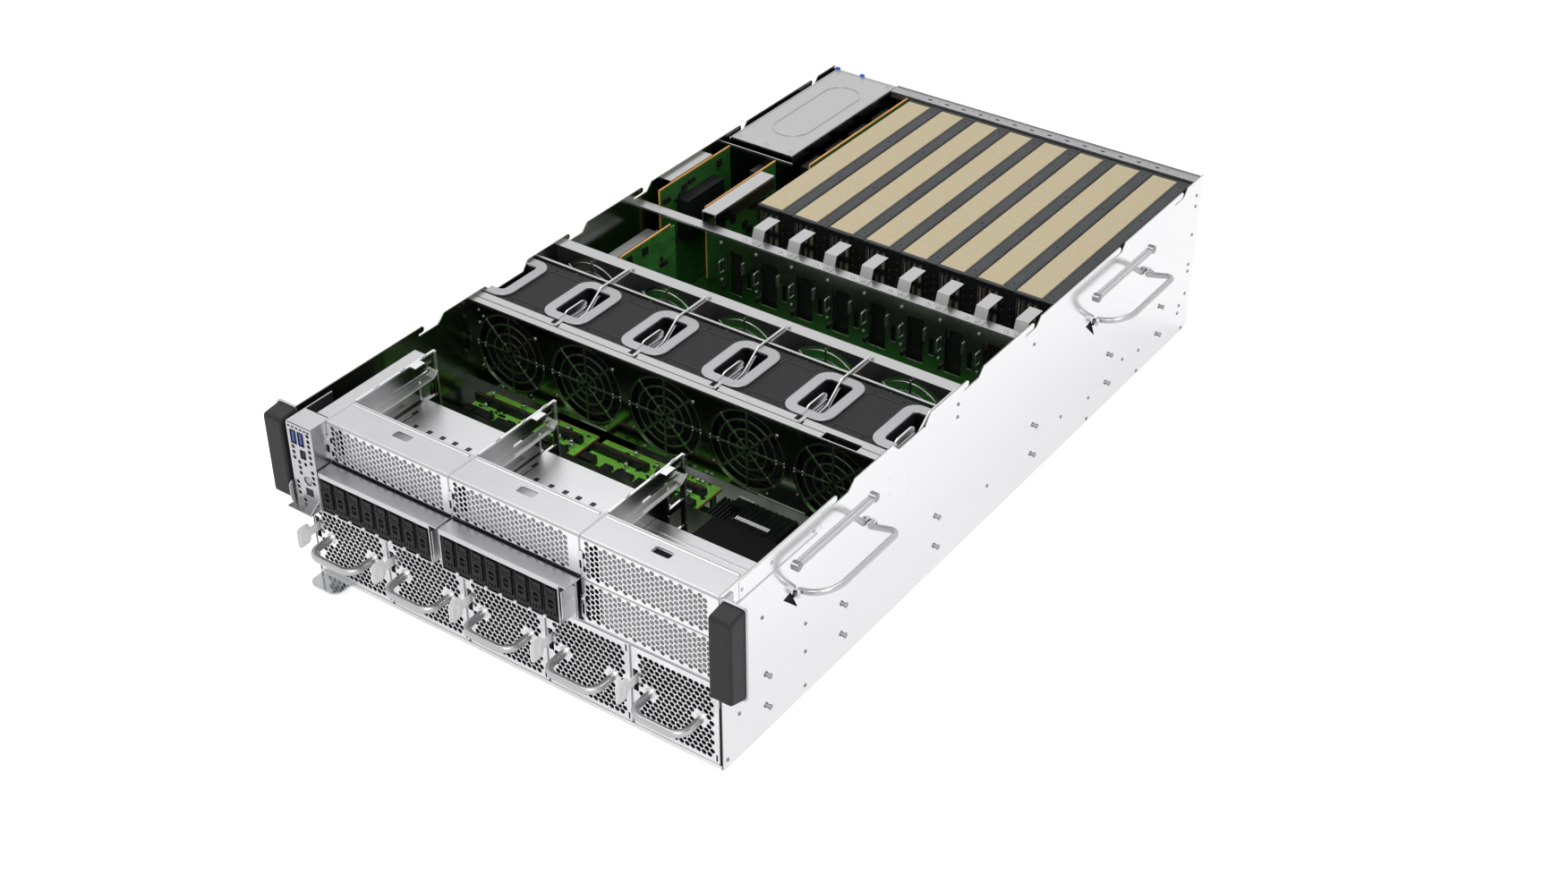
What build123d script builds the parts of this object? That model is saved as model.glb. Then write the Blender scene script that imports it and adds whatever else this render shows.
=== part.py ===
from build123d import *
from math import cos, radians, sin
import os

# Accelerator server in a rack chassis four units high, shown without its top cover. Millimetres.
# Origin at the centre of the chassis bottom, +X to the right, +Y to the rear, +Z up.

# Chassis
BODY_W = 437.0
BODY_H = 174.0
BODY_L = 800.0
PANEL_W = 482.6
SHEET = 1.5
THIN = 1.0
FRONT = -BODY_L / 2
SIDE = BODY_W / 2
INNER = SIDE - SHEET

# Levels, measured up from the chassis bottom
PSU_BOTTOM = 3.6
PSU_TOP = 85.0
SHELF_Z = 86.0
CAGE_BOTTOM = 90.2
DRIVE_BOTTOM = 92.4
DRIVE_TOP = 125.0
CAGE_TOP = 129.3
GRILLE_SPLIT = 129.5
COVER_Z = 171.0

# Places along the chassis, measured back from the front panel
BAY_DEPTH = 132.0
SHELF_DEPTH = 168.0
FAN_WALL = 214.0
FAN_FRONT = 231.0
FAN_BACK = 305.0
FAN_REAR_WALL = 334.0
FAN_RAIL_END = 347.0
MID_BEAM = 450.5
MID_BEAM_END = 463.6
GPU_START = 508.0
GPU_END = 783.0
REAR_BEAM = 786.0

# Power supplies
PSU_COUNT = 5
PSU_PITCH = 86.6
PSU_W = 84.8
PSU_FIRST = -216.4
PSU_DEPTH = 165.0
BAIL_ROD = 3.0
BAIL_SPAN = 50.0
BAIL_REACH = 27.0
BAIL_Z = 43.5

# Drives
CAGE_STARTS = (-182.7, -48.4)
DRIVES_PER_CAGE = 8
DRIVE_PITCH = 15.3
DRIVE_W = 14.4
DRIVE_PROUD = 17.5
DRIVE_DEPTH = 110.0

# Upper bays
DIVIDERS = (-184.8, -49.9, 84.1)
DIVIDER_T = 1.2
COVER_DEPTH = 35.0

# Fans
FAN_COUNT = 5
FAN_PITCH = 86.9
FAN_W = 85.2
FAN_Z = 128.0
FAN_BOTTOM = 88.0
FAN_TOP = 169.0
DUCT_R = 37.5
ROTOR_R = 36.8
HUB_R = 17.0
BLADES = 7
SHAFT_R = 2.0
RUNNING = 0.05
LOOP_W = 47.0
LOOP_L = 68.5
LOOP_RING = 10.0

# Accelerator cards
GPU_COUNT = 8
GPU_PITCH = 40.64
GPU_FIRST = -110.9
FIN_W = 26.4
SHROUD_W = 13.4
GPU_BOTTOM = 58.0
GPU_TOP = 169.0

# Side fittings
STUD_DEPTHS = (59.6, 166.2, 310.9, 480.0, 625.7, 733.2)
STUD_LEVELS = (23.5, 55.7)
HANDLE_DEPTHS = (98.0, 585.0)
HANDLE_SPAN = 100.5
HANDLE_Z = 117.0
HANDLE_REACH = 28.0
HANDLE_TILT = 14.0
HANDLE_ROD = 2.75
PIVOT_R = 2.0
PIVOT_OUT = 3.6
KEEPER_Z = 139.8


def aft(depth):
    """Y of a point this far behind the front panel."""
    return FRONT + depth


def block(x, y, z, mode=Mode.ADD):
    """Box between the given limits, in the part being built."""
    with Locations(((x[0] + x[1]) / 2, (y[0] + y[1]) / 2, (z[0] + z[1]) / 2)):
        Box(x[1] - x[0], y[1] - y[0], z[1] - z[0], mode=mode)


def at_y(y):
    """Plane facing the front, with local axes X and Z."""
    return Plane.XZ.offset(-y)


def prism(plane, points, amount, mode=Mode.ADD):
    """Straight-sided outline pushed along the plane's normal, in the part being built."""
    with BuildSketch(plane) as outline:
        with BuildLine():
            Polyline(*points, close=True)
        make_face()
    extrude(outline.sketch, amount=amount, mode=mode)


def group(name, *parts):
    """Separate solids kept together as one sub-part."""
    solids = [solid for part in parts for solid in part.solids()]
    return Compound(label=name, children=solids)


def save(name, shape):
    """Label the sub-part and write its file."""
    shape.label = name
    export_step(shape, f"parts/{name}.step")


os.makedirs("parts", exist_ok=True)


# Bottom pan: floor with a low front lip, a rear flange and stiffening beads
BEAD_X = (-160.0, -60.0, 60.0, 160.0)
with BuildPart() as bottom_pan:
    block((-INNER, INNER), (FRONT, -FRONT), (0, SHEET))
    block((-INNER, INNER), (FRONT, FRONT + THIN), (SHEET, PSU_BOTTOM - 0.3))
    block((-214.4, -179.6), (FRONT, FRONT + THIN), (SHEET, PSU_BOTTOM), mode=Mode.SUBTRACT)
    with BuildSketch(Plane.XY):
        with Locations(*[(x, aft(560)) for x in BEAD_X]):
            SlotOverall(380, 12, rotation=90)
    extrude(amount=0.6, mode=Mode.SUBTRACT)
save("bottom_pan", bottom_pan.part)


# Side walls: the top edge carries hooks and notches for the cover
HOOKS = ((739.0, 755.7, 759.6, 766.5), (607.0, 626.7, 630.6, 637.4), (449.7, 464.4, 470.2, 478.0),
         (346.0, 353.0, 371.5, 379.0))
FIRST_HOOK = (146.6, 153.5, 171.0, 180.0)
DIP = (234.6, 244.4, 285.5, 293.3)
SLIT_LOW = 166.2
SLIT_HIGH = 168.2
DIP_Z = 164.7
FINGER_ROUND = 2.4


def hook(slit, tip, bottom, top):
    """Notch in the cover edge with a finger left standing over a slit, from rear to front."""
    low = [(aft(top), BODY_H), (aft(bottom), SLIT_LOW), (aft(slit), SLIT_LOW)]
    return low + [(aft(slit), SLIT_HIGH), (aft(tip), SLIT_HIGH), (aft(tip), BODY_H)]


wall_outline = [(FRONT, 0), (-FRONT, 0), (-FRONT, BODY_H)]
for notch in HOOKS:
    wall_outline += hook(*notch)
wall_outline += [(aft(DIP[3]), BODY_H), (aft(DIP[2]), DIP_Z), (aft(DIP[1]), DIP_Z), (aft(DIP[0]), BODY_H)]
wall_outline += hook(*FIRST_HOOK) + [(FRONT, BODY_H)]
finger_tips = [aft(notch[1]) for notch in HOOKS + (FIRST_HOOK,)]

LUG_T = 2.0
LUG_GAP = 4.0
LUG_R = 4.2
lug_depths = []
for start in HANDLE_DEPTHS:
    lug_depths += [start - LUG_GAP, start + HANDLE_SPAN + LUG_GAP + LUG_T]

with BuildPart() as wall_sheet:
    with BuildSketch(Plane.YZ.offset(INNER)) as wall_face:
        with BuildLine():
            Polyline(*wall_outline, close=True)
        make_face()
        tips = [v for v in wall_face.vertices() if v.X in finger_tips or round(v.X, 3) in finger_tips]
        fillet(tips, radius=FINGER_ROUND)
    extrude(amount=SHEET)
    # Seam and fold line of the front bracket
    block((SIDE - 0.4, SIDE), (aft(23), aft(119)), (154.0, 155.0), mode=Mode.SUBTRACT)
    block((SIDE - 0.4, SIDE), (aft(130.6), aft(131.6)), (155.0, BODY_H), mode=Mode.SUBTRACT)
    # Three-cornered opening below the front end of each carry handle
    for start in HANDLE_DEPTHS:
        corner = aft(start)
        prism(Plane.YZ.offset(INNER), [(corner - 18, 117), (corner - 8, 119), (corner + 1.7, 97.8)],
              SHEET, mode=Mode.SUBTRACT)

# Pivot lugs of the carry handles, a pair for each
with BuildPart() as lugs:
    for depth in lug_depths:
        with BuildSketch(at_y(aft(depth))):
            with Locations((SIDE + PIVOT_OUT / 2, HANDLE_Z)):
                Rectangle(PIVOT_OUT, 2 * LUG_R)
            with Locations((SIDE + PIVOT_OUT, HANDLE_Z)):
                Circle(LUG_R)
                Circle(PIVOT_R + RUNNING, mode=Mode.SUBTRACT)
            with Locations((SIDE - LUG_R, HANDLE_Z)):
                Rectangle(2 * LUG_R, 3 * LUG_R, mode=Mode.SUBTRACT)
        extrude(amount=LUG_T)

# Keeper bars above the handles, each held by two shouldered rivets
with BuildPart() as keepers:
    for start in HANDLE_DEPTHS:
        for end in (start, start + 109.5):
            with BuildSketch(Plane.YZ.offset(SIDE)):
                with Locations((aft(end), KEEPER_Z)):
                    Circle(4.0)
            extrude(amount=2.8)
            with BuildSketch(Plane.YZ.offset(SIDE + 2.8)):
                with Locations((aft(end), KEEPER_Z)):
                    Circle(2.4)
            extrude(amount=1.0)
        with BuildSketch(at_y(aft(start + 109.5))):
            with Locations((SIDE + 1.7, KEEPER_Z)):
                Circle(1.5)
        extrude(amount=109.5)

save("right_wall", group("right_wall", wall_sheet, lugs, keepers))

with BuildPart() as left_sheet:
    mirror(wall_sheet.part, about=Plane.YZ)
with BuildPart() as left_lugs:
    mirror(lugs.part, about=Plane.YZ)
with BuildPart() as left_keepers:
    mirror(keepers.part, about=Plane.YZ)
save("left_wall", group("left_wall", left_sheet, left_lugs, left_keepers))


# Carry handles: a bent rod with a stub pin at each foot, tilted up from the wall
FRONT_BEND = 22.0
REAR_BEND = 9.0
STUB = LUG_GAP + LUG_T


def carry_handle(start):
    """Right-hand handle whose front foot is this far behind the front panel."""
    up = radians(HANDLE_TILT)
    swing = Plane(origin=(SIDE + PIVOT_OUT, 0, HANDLE_Z), x_dir=(0, 1, 0), z_dir=(sin(up), 0, -cos(up)))
    near = aft(start)
    far = near + HANDLE_SPAN
    with BuildPart() as handle:
        with BuildLine(swing) as rod_path:
            FilletPolyline((near, 0), (near, HANDLE_REACH), (far, HANDLE_REACH), (far, 0),
                           radius=(FRONT_BEND, REAR_BEND))
        with BuildSketch(Plane(origin=rod_path.line @ 0, z_dir=rod_path.line % 0)):
            Circle(HANDLE_ROD)
        sweep(path=rod_path.line)
        with Locations((SIDE + PIVOT_OUT, near, HANDLE_Z), (SIDE + PIVOT_OUT, far, HANDLE_Z)):
            Sphere(HANDLE_ROD)
        for foot, way in ((near, 1), (far, -1)):
            with BuildSketch(at_y(foot)):
                with Locations((SIDE + PIVOT_OUT, HANDLE_Z)):
                    Circle(PIVOT_R)
            extrude(amount=STUB * way)
    return handle


for place, start in zip(("front", "rear"), HANDLE_DEPTHS):
    right_handle = carry_handle(start)
    save(f"carry_handle_{place}_right", right_handle.part)
    with BuildPart() as left_handle:
        mirror(right_handle.part, about=Plane.YZ)
    save(f"carry_handle_{place}_left", left_handle.part)


# Rail studs: shouldered pins with a wide head, six pairs on each side
STUD_R = 1.8
STUD_HEAD_R = 2.5
STUD_NECK = 1.8
STUD_HEAD = 0.9
with BuildPart() as right_studs:
    with BuildSketch(Plane.YZ.offset(SIDE)):
        with Locations(*[(aft(depth), level) for depth in STUD_DEPTHS for level in STUD_LEVELS]):
            Circle(STUD_R)
    extrude(amount=STUD_NECK)
    with BuildSketch(Plane.YZ.offset(SIDE + STUD_NECK)):
        with Locations(*[(aft(depth), level) for depth in STUD_DEPTHS for level in STUD_LEVELS]):
            Circle(STUD_HEAD_R)
    extrude(amount=STUD_HEAD)
with BuildPart() as left_studs:
    mirror(right_studs.part, about=Plane.YZ)
save("rail_studs", group("rail_studs", right_studs, left_studs))


# Rack ears: flat flanges beside the front, each with a gusset against the wall
EAR_LOW = 82.0
EAR_HIGH = 172.0
EAR_T = 2.5
EAR_EDGE = PANEL_W / 2
with BuildPart() as right_ear:
    block((SIDE, EAR_EDGE), (FRONT, FRONT + EAR_T), (EAR_LOW, EAR_HIGH))
    fillet(right_ear.edges().filter_by(Axis.Y).group_by(Axis.X)[-1], radius=3)
    block((SIDE, SIDE + SHEET), (FRONT + EAR_T, aft(14)), (EAR_LOW, EAR_HIGH - 2))
with BuildPart() as left_ear:
    mirror(right_ear.part, about=Plane.YZ)
save("rack_ears", group("rack_ears", right_ear, left_ear))


# Ear handles: moulded bars over the ears, deeper at the back than at the front
GRIP_IN = SIDE + 0.4
GRIP_OUT = 240.4
GRIP_DEPTH = 18.0
GRIP_PROFILE = [(FRONT, 83.6), (FRONT, 170.6), (FRONT - GRIP_DEPTH, 168.4), (FRONT - GRIP_DEPTH, 89.5)]
with BuildPart() as right_grip:
    prism(Plane.YZ.offset(GRIP_IN), GRIP_PROFILE, GRIP_OUT - GRIP_IN)
    fillet(right_grip.edges().filter_by(Axis.X).group_by(Axis.Y)[0], radius=4)
    fillet(right_grip.faces().sort_by(Axis.Y)[0].edges(), radius=3)
with BuildPart() as left_grip:
    mirror(right_grip.part, about=Plane.YZ)
save("ear_handles", group("ear_handles", right_grip, left_grip))


# Control module: bent housing at the left of the front, with sockets and the power button
MODULE_LEFT = -212.0
MODULE_RIGHT = -184.6
MODULE_FRONT = FRONT - DRIVE_PROUD
MODULE_LOW = 92.5
BUTTON_X = -195.0
BUTTON_Z = 117.0
BUTTON_R = 3.2
PORT_X = (-205.0, -196.5)
PORT_Z = 158.5
VENT_COLUMN = (137.5, 143.5, 149.0, 154.5, 159.5, 165.0)
VENT_SIDE = (137.0, 142.0, 148.0)
MODULE_TOP = COVER_Z + THIN
MODULE_FACE_T = 1.2
DISPLAY_X = BUTTON_X - 1.2
DISPLAY_Z = 143.3
INDICATOR_Z = 105.5
SOCKET_BOARD = aft(-2)
with BuildPart() as module_shell:
    block((MODULE_LEFT, MODULE_RIGHT), (MODULE_FRONT, MODULE_FRONT + MODULE_FACE_T), (MODULE_LOW, MODULE_TOP))
    block((MODULE_LEFT, MODULE_LEFT + THIN), (MODULE_FRONT, aft(COVER_DEPTH)), (MODULE_LOW, MODULE_TOP))
    block((MODULE_RIGHT - THIN, MODULE_RIGHT), (MODULE_FRONT, FRONT), (MODULE_LOW, MODULE_TOP))
    for level in (MODULE_LOW, COVER_Z):
        block((MODULE_LEFT, MODULE_RIGHT), (MODULE_FRONT, FRONT), (level, level + THIN))
        block((MODULE_LEFT, MODULE_RIGHT - THIN), (FRONT, aft(4)), (level, level + THIN))
    with BuildSketch(at_y(MODULE_FRONT + MODULE_FACE_T)):
        with Locations(*[(x, PORT_Z) for x in PORT_X]):
            Rectangle(6.4, 13.4)
        with Locations((DISPLAY_X, DISPLAY_Z)):
            Rectangle(5.6, 8.5)
        with Locations((BUTTON_X, INDICATOR_Z)):
            RectangleRounded(9, 8, 1)
        with Locations((BUTTON_X, BUTTON_Z)):
            Circle(BUTTON_R + 0.2)
        with Locations(*[(-187.8, level) for level in VENT_COLUMN]):
            Circle(1.7)
        with Locations(*[(-207.0, level) for level in VENT_SIDE]):
            Circle(1.7)
    extrude(amount=MODULE_FACE_T, mode=Mode.SUBTRACT)
# Folded strip hung from the first divider beside the module
STRIP_X = (-198.5, DIVIDERS[0] - DIVIDER_T / 2)
STRIP_UNDER = COVER_Z - 0.6
with BuildPart() as module_strip:
    block(STRIP_X, (aft(5), aft(122)), (STRIP_UNDER, MODULE_TOP))
    block((STRIP_X[1] - THIN, STRIP_X[1]), (aft(5), aft(122)), (CAGE_TOP, STRIP_UNDER))
with BuildPart() as ports:
    for x in PORT_X:
        block((x - 3.1, x + 3.1), (MODULE_FRONT + 0.4, SOCKET_BOARD), (PORT_Z - 6.6, PORT_Z + 6.6))
        block((x - 2.1, x + 2.1), (MODULE_FRONT + 0.4, aft(-8)), (PORT_Z - 5.8, PORT_Z + 5.8),
              mode=Mode.SUBTRACT)
    block((DISPLAY_X - 2.7, DISPLAY_X + 2.7), (MODULE_FRONT + 0.4, SOCKET_BOARD),
          (DISPLAY_Z - 4.1, DISPLAY_Z + 4.1))
    block((BUTTON_X - 5, BUTTON_X + 5), (MODULE_FRONT + MODULE_FACE_T, SOCKET_BOARD),
          (INDICATOR_Z - 4.3, INDICATOR_Z + 4.3))
    # Small board that carries the sockets, between the housing's sides
    block((MODULE_LEFT + THIN, MODULE_RIGHT - THIN), (SOCKET_BOARD, SOCKET_BOARD + 1.6), (98, 167))
# Small tray under the module with a three-cornered gusset and a round-topped side tab
TRAY_REACH = 12.5
TRAY_T = 1.2
TRAY_LEFT = -211.4
TAB_LEFT = -214.6
GUSSET = [(MODULE_FRONT - TRAY_REACH, MODULE_LOW), (MODULE_FRONT, MODULE_LOW), (MODULE_FRONT, 101)]
with BuildPart() as module_tray:
    block((TRAY_LEFT, MODULE_RIGHT), (MODULE_FRONT - TRAY_REACH, aft(-2)), (MODULE_LOW - TRAY_T, MODULE_LOW))
    prism(Plane.YZ.offset(MODULE_RIGHT - THIN), GUSSET, THIN)
    with BuildSketch(Plane.YZ.offset(TAB_LEFT)):
        with Locations((MODULE_FRONT - 1, 101)):
            SlotOverall(20, 9, rotation=90)
    extrude(amount=TRAY_T)
    block((TAB_LEFT, TRAY_LEFT), (MODULE_FRONT - 5, MODULE_FRONT + 3), (MODULE_LOW - TRAY_T, MODULE_LOW))
save("control_module", group("control_module", module_shell, module_strip, ports, module_tray))

with BuildPart() as power_button:
    with BuildSketch(at_y(MODULE_FRONT + 4.4)):
        with Locations((BUTTON_X, BUTTON_Z)):
            Circle(BUTTON_R)
    extrude(amount=4.8)
    with BuildSketch(at_y(MODULE_FRONT + 2.6)):
        with Locations((BUTTON_X, BUTTON_Z)):
            Circle(BUTTON_R + 1.2)
    extrude(amount=1.2)
    fillet(power_button.faces().sort_by(Axis.Y)[0].edges(), radius=0.4)
save("power_button", power_button.part)

# Service tab: a flat card that pulls out below the first power supply
TAB_X = -197.0
with BuildPart() as service_tab:
    with BuildSketch(Plane.XY.offset(SHEET + 0.3)) as tab_face:
        with Locations((TAB_X, aft(20))):
            Rectangle(33, 80)
        fillet(tab_face.vertices().group_by(Axis.Y)[0], radius=8)
    extrude(amount=1.2)
    with Locations(*[(TAB_X, FRONT - 3 - 2 * step, SHEET + 1.5) for step in range(4)]):
        Box(22, 0.9, 0.5)
save("service_tab", service_tab.part)


# Bay frame: power supply separators, shelf and the dividers of the upper bays
DIVIDER_TOP = 172.0
with BuildPart() as separators:
    for bay in range(1, PSU_COUNT):
        middle = PSU_FIRST + PSU_PITCH * bay - (PSU_PITCH - PSU_W) / 2
        block((middle - THIN / 2, middle + THIN / 2), (FRONT + THIN, aft(SHELF_DEPTH)), (SHEET, SHELF_Z))
with BuildPart() as shelf:
    block((-INNER, INNER), (FRONT, aft(SHELF_DEPTH)), (SHELF_Z, SHELF_Z + DIVIDER_T))
with BuildPart() as dividers:
    for x in DIVIDERS:
        block((x - DIVIDER_T / 2, x + DIVIDER_T / 2), (FRONT, aft(BAY_DEPTH)),
              (SHELF_Z + DIVIDER_T, DIVIDER_TOP))
        # Hook slot, clearance window and cable window behind the cover
        with BuildSketch(Plane.YZ.offset(x - DIVIDER_T / 2)):
            with Locations((aft(123), 165)):
                Rectangle(9, 4)
            with Locations((aft(100), 156)):
                SlotOverall(46, 3.2)
            with Locations((aft(119), 140)):
                RectangleRounded(16, 22, 2)
            with Locations((aft(119), 112)):
                RectangleRounded(16, 20, 2)
        extrude(amount=DIVIDER_T, mode=Mode.SUBTRACT)
save("bay_frame", group("bay_frame", separators, shelf, dividers))


# Bay blanks: bent fillers, a slotted top plate and a front face; the right bay has a second one below
BAYS = ((-184.2, -50.5), (-49.3, 83.5), (84.7, INNER))
COVER_SLOTS = (-117.0, 15.6, 149.6)
with BuildPart() as blanks:
    for (left, right), slot_x in zip(BAYS, COVER_SLOTS):
        block((left, right), (FRONT, aft(COVER_DEPTH)), (COVER_Z, COVER_Z + THIN))
        block((left, right), (FRONT, FRONT + THIN), (CAGE_TOP + 2.2, COVER_Z))
        with BuildSketch(Plane.XY.offset(COVER_Z)):
            with Locations((slot_x, aft(20))):
                RectangleRounded(17, 8, 1.5)
        extrude(amount=THIN, mode=Mode.SUBTRACT)
with BuildPart() as lower_blank:
    left, right = BAYS[-1]
    block((left, right), (FRONT, FRONT + THIN), (SHELF_Z + DIVIDER_T, GRILLE_SPLIT - 0.5))
    block((left, right), (FRONT, aft(COVER_DEPTH)), (GRILLE_SPLIT - 0.5, GRILLE_SPLIT + 0.5))
save("bay_blanks", group("bay_blanks", blanks, lower_blank))


# Drive cages: bent shells, open at the front, with a bright lip and a flange at the right
CELLS = DRIVES_PER_CAGE * DRIVE_PITCH
CAGE_FRONT = FRONT - DRIVE_PROUD
FLOOR_HOLES = 5
CAGE_SIDE = 0.8
FLANGE_W = 8.2
cages = []
for start in CAGE_STARTS:
    cage_left = start - CAGE_SIDE
    cage_right = start + CELLS + CAGE_SIDE
    with BuildPart() as cage:
        block((cage_left, cage_right + FLANGE_W), (CAGE_FRONT, aft(115)), (CAGE_TOP, CAGE_TOP + THIN))
        block((cage_left, cage_right), (CAGE_FRONT, CAGE_FRONT + THIN), (DRIVE_TOP + 0.6, CAGE_TOP))
        block((cage_left, cage_left + THIN), (CAGE_FRONT, aft(115)), (CAGE_BOTTOM, CAGE_TOP))
        block((cage_right - THIN, cage_right), (CAGE_FRONT, aft(115)), (CAGE_BOTTOM, CAGE_TOP))
        block((cage_left, cage_right), (CAGE_FRONT, aft(115)), (CAGE_BOTTOM, CAGE_BOTTOM + THIN))
        for foot in (cage_left, cage_right - THIN):
            block((foot, foot + THIN), (FRONT, aft(115)), (SHELF_Z + DIVIDER_T, CAGE_BOTTOM))
        block((cage_right, cage_right + FLANGE_W), (aft(-6), aft(-5)), (CAGE_BOTTOM, CAGE_TOP))
        with BuildSketch(Plane.XY.offset(CAGE_TOP)):
            with Locations(*[(start + 21 + 14.8 * hole, aft(78)) for hole in range(FLOOR_HOLES)]):
                Rectangle(3, 4)
        extrude(amount=THIN, mode=Mode.SUBTRACT)
    cages.append(cage)
save("drive_cages", group("drive_cages", *cages))


# Drives: carriers with a raised bezel, a latch plate and three small vents
def drive(left):
    """One drive carrier; the bezel stands at the cage's front edge."""
    right = left + DRIVE_W
    middle = (left + right) / 2
    with BuildPart() as carrier:
        block((left, right), (CAGE_FRONT + 1, aft(DRIVE_DEPTH)), (DRIVE_BOTTOM, DRIVE_TOP - 0.4))
        block((middle - 5.2, middle + 5.2), (CAGE_FRONT, CAGE_FRONT + 1), (116, 122.6))
        with BuildSketch(at_y(CAGE_FRONT + 1)):
            with Locations((middle, 105.4)):
                RectangleRounded(10.4, 18.6, 1.6)
            with Locations((middle, 108.2)):
                SlotOverall(9, 5, rotation=90, mode=Mode.SUBTRACT)
            with Locations((middle - 3, 98.6), (middle + 3, 98.6)):
                Rectangle(1.2, 1.8, mode=Mode.SUBTRACT)
            with Locations((middle, 98.6)):
                Rectangle(1.2, 3, mode=Mode.SUBTRACT)
        extrude(amount=1)
    return carrier


drive_number = 0
for start in CAGE_STARTS:
    for cell in range(DRIVES_PER_CAGE):
        drive_number += 1
        carrier = drive(start + cell * DRIVE_PITCH + (DRIVE_PITCH - DRIVE_W) / 2)
        save(f"drive_{drive_number}", carrier.part)


# Power supplies: a case with a bent-rod bail; the latch lever turns in a pocket at its left edge
LATCH_T = 1.2
LATCH_Z = (30.0, 52.0)
LATCH_PROUD = 24.0
PIN_R = 1.2
POCKET = (0.4, 6.4)
PIN_DEPTH = 10.0
BAIL_BEND = 12.0


def psu_case(left):
    """Case, face plate, latch pocket and bail bosses, from the left edge."""
    right = left + PSU_W
    middle = (left + right) / 2
    pin_x = left + POCKET[0] + 2.0
    with BuildPart() as case:
        block((left, right), (FRONT, aft(PSU_DEPTH)), (PSU_BOTTOM, PSU_TOP))
        block((left + POCKET[0], left + 4.6), (FRONT, aft(3)), (LATCH_Z[0] - 1, LATCH_Z[1] + 1),
              mode=Mode.SUBTRACT)
        block((left + POCKET[0], left + POCKET[1]), (aft(3), aft(14)), (LATCH_Z[0] - 1, LATCH_Z[1] + 1),
              mode=Mode.SUBTRACT)
        with BuildSketch(Plane.XY.offset(LATCH_Z[0] - 2.5)):
            with Locations((pin_x, aft(PIN_DEPTH))):
                Circle(PIN_R + RUNNING)
        extrude(amount=LATCH_Z[1] - LATCH_Z[0] + 5, mode=Mode.SUBTRACT)
        # Finger recess line round the face
        with BuildSketch(at_y(FRONT)):
            with Locations((middle, (PSU_BOTTOM + PSU_TOP) / 2)):
                Rectangle(PSU_W - 3, PSU_TOP - PSU_BOTTOM - 3)
                Rectangle(PSU_W - 4, PSU_TOP - PSU_BOTTOM - 4, mode=Mode.SUBTRACT)
        extrude(amount=-0.4, mode=Mode.SUBTRACT)
    return case


def psu_bail(middle):
    """Bent rod standing out from the face, its feet in round bosses."""
    left = middle - BAIL_SPAN / 2
    right = middle + BAIL_SPAN / 2
    with BuildPart() as bail:
        with BuildLine(Plane.XY.offset(BAIL_Z)) as rod_path:
            FilletPolyline((left, FRONT), (left, FRONT - BAIL_REACH), (right, FRONT - BAIL_REACH),
                           (right, FRONT), radius=BAIL_BEND)
        with BuildSketch(Plane(origin=rod_path.line @ 0, z_dir=rod_path.line % 0)):
            Circle(BAIL_ROD)
        sweep(path=rod_path.line)
        with BuildSketch(at_y(FRONT)):
            with Locations((left, BAIL_Z), (right, BAIL_Z)):
                Circle(BAIL_ROD + 1.2)
        extrude(amount=1.2)
    return bail


def psu_latch(left):
    """Thumb lever: a rounded plate with a raised ring, on an upright pin."""
    pin_x = left + POCKET[0] + 2.0
    height = LATCH_Z[1] - LATCH_Z[0]
    level = (LATCH_Z[0] + LATCH_Z[1]) / 2
    tab = Plane.YZ.offset(pin_x - LATCH_T / 2)
    with BuildPart() as lever:
        with BuildSketch(tab) as plate:
            with Locations(((aft(-LATCH_PROUD) + aft(PIN_DEPTH)) / 2, level)):
                Rectangle(LATCH_PROUD + PIN_DEPTH, height - 0.6)
            fillet(plate.vertices().group_by(Axis.X)[0], radius=5)
        extrude(amount=LATCH_T)
        with BuildSketch(Plane.YZ.offset(pin_x + LATCH_T / 2)):
            with Locations((aft(-15), level)):
                RectangleRounded(12, 16, 3)
                RectangleRounded(9.6, 13.6, 2, mode=Mode.SUBTRACT)
        extrude(amount=0.5)
        with BuildSketch(Plane.XY.offset(LATCH_Z[0] - 2)):
            with Locations((pin_x, aft(PIN_DEPTH))):
                Circle(PIN_R)
        extrude(amount=height + 4)
    return lever


for number in range(PSU_COUNT):
    left = PSU_FIRST + PSU_PITCH * number
    supply = group("psu", psu_case(left), psu_bail(left + PSU_W / 2))
    save(f"psu_{number + 1}", supply)
    save(f"psu_latch_{number + 1}", psu_latch(left).part)


# Fan cage: perforated front and rear walls with folded rails, partitions, a tie rail and a floor
WALL_OPENING = 39.5
fan_centres = [(number - (FAN_COUNT - 1) / 2) * FAN_PITCH for number in range(FAN_COUNT)]
with BuildPart() as cage_front:
    block((-INNER, INNER), (aft(FAN_WALL), aft(FAN_WALL) + THIN), (SHELF_Z + THIN, COVER_Z - THIN))
    block((-INNER, INNER), (aft(FAN_WALL), aft(FAN_FRONT) - 0.6), (COVER_Z - THIN, COVER_Z))
    block((161, 196), (aft(FAN_WALL) + THIN, aft(FAN_WALL) + 10), (COVER_Z - THIN, COVER_Z),
          mode=Mode.SUBTRACT)
    with BuildSketch(at_y(aft(FAN_WALL) + THIN)):
        with Locations(*[(x, FAN_Z) for x in fan_centres]):
            Circle(WALL_OPENING)
    extrude(amount=THIN, mode=Mode.SUBTRACT)
with BuildPart() as cage_rear:
    block((-INNER, INNER), (aft(FAN_REAR_WALL), aft(FAN_REAR_WALL) + THIN), (SHELF_Z + THIN, COVER_Z - THIN))
    block((-INNER, INNER), (aft(FAN_REAR_WALL), aft(FAN_RAIL_END)), (COVER_Z - THIN, COVER_Z))
    with BuildSketch(at_y(aft(FAN_REAR_WALL) + THIN)):
        with Locations(*[(x, FAN_Z) for x in fan_centres]):
            Circle(WALL_OPENING)
    extrude(amount=THIN, mode=Mode.SUBTRACT)
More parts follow.
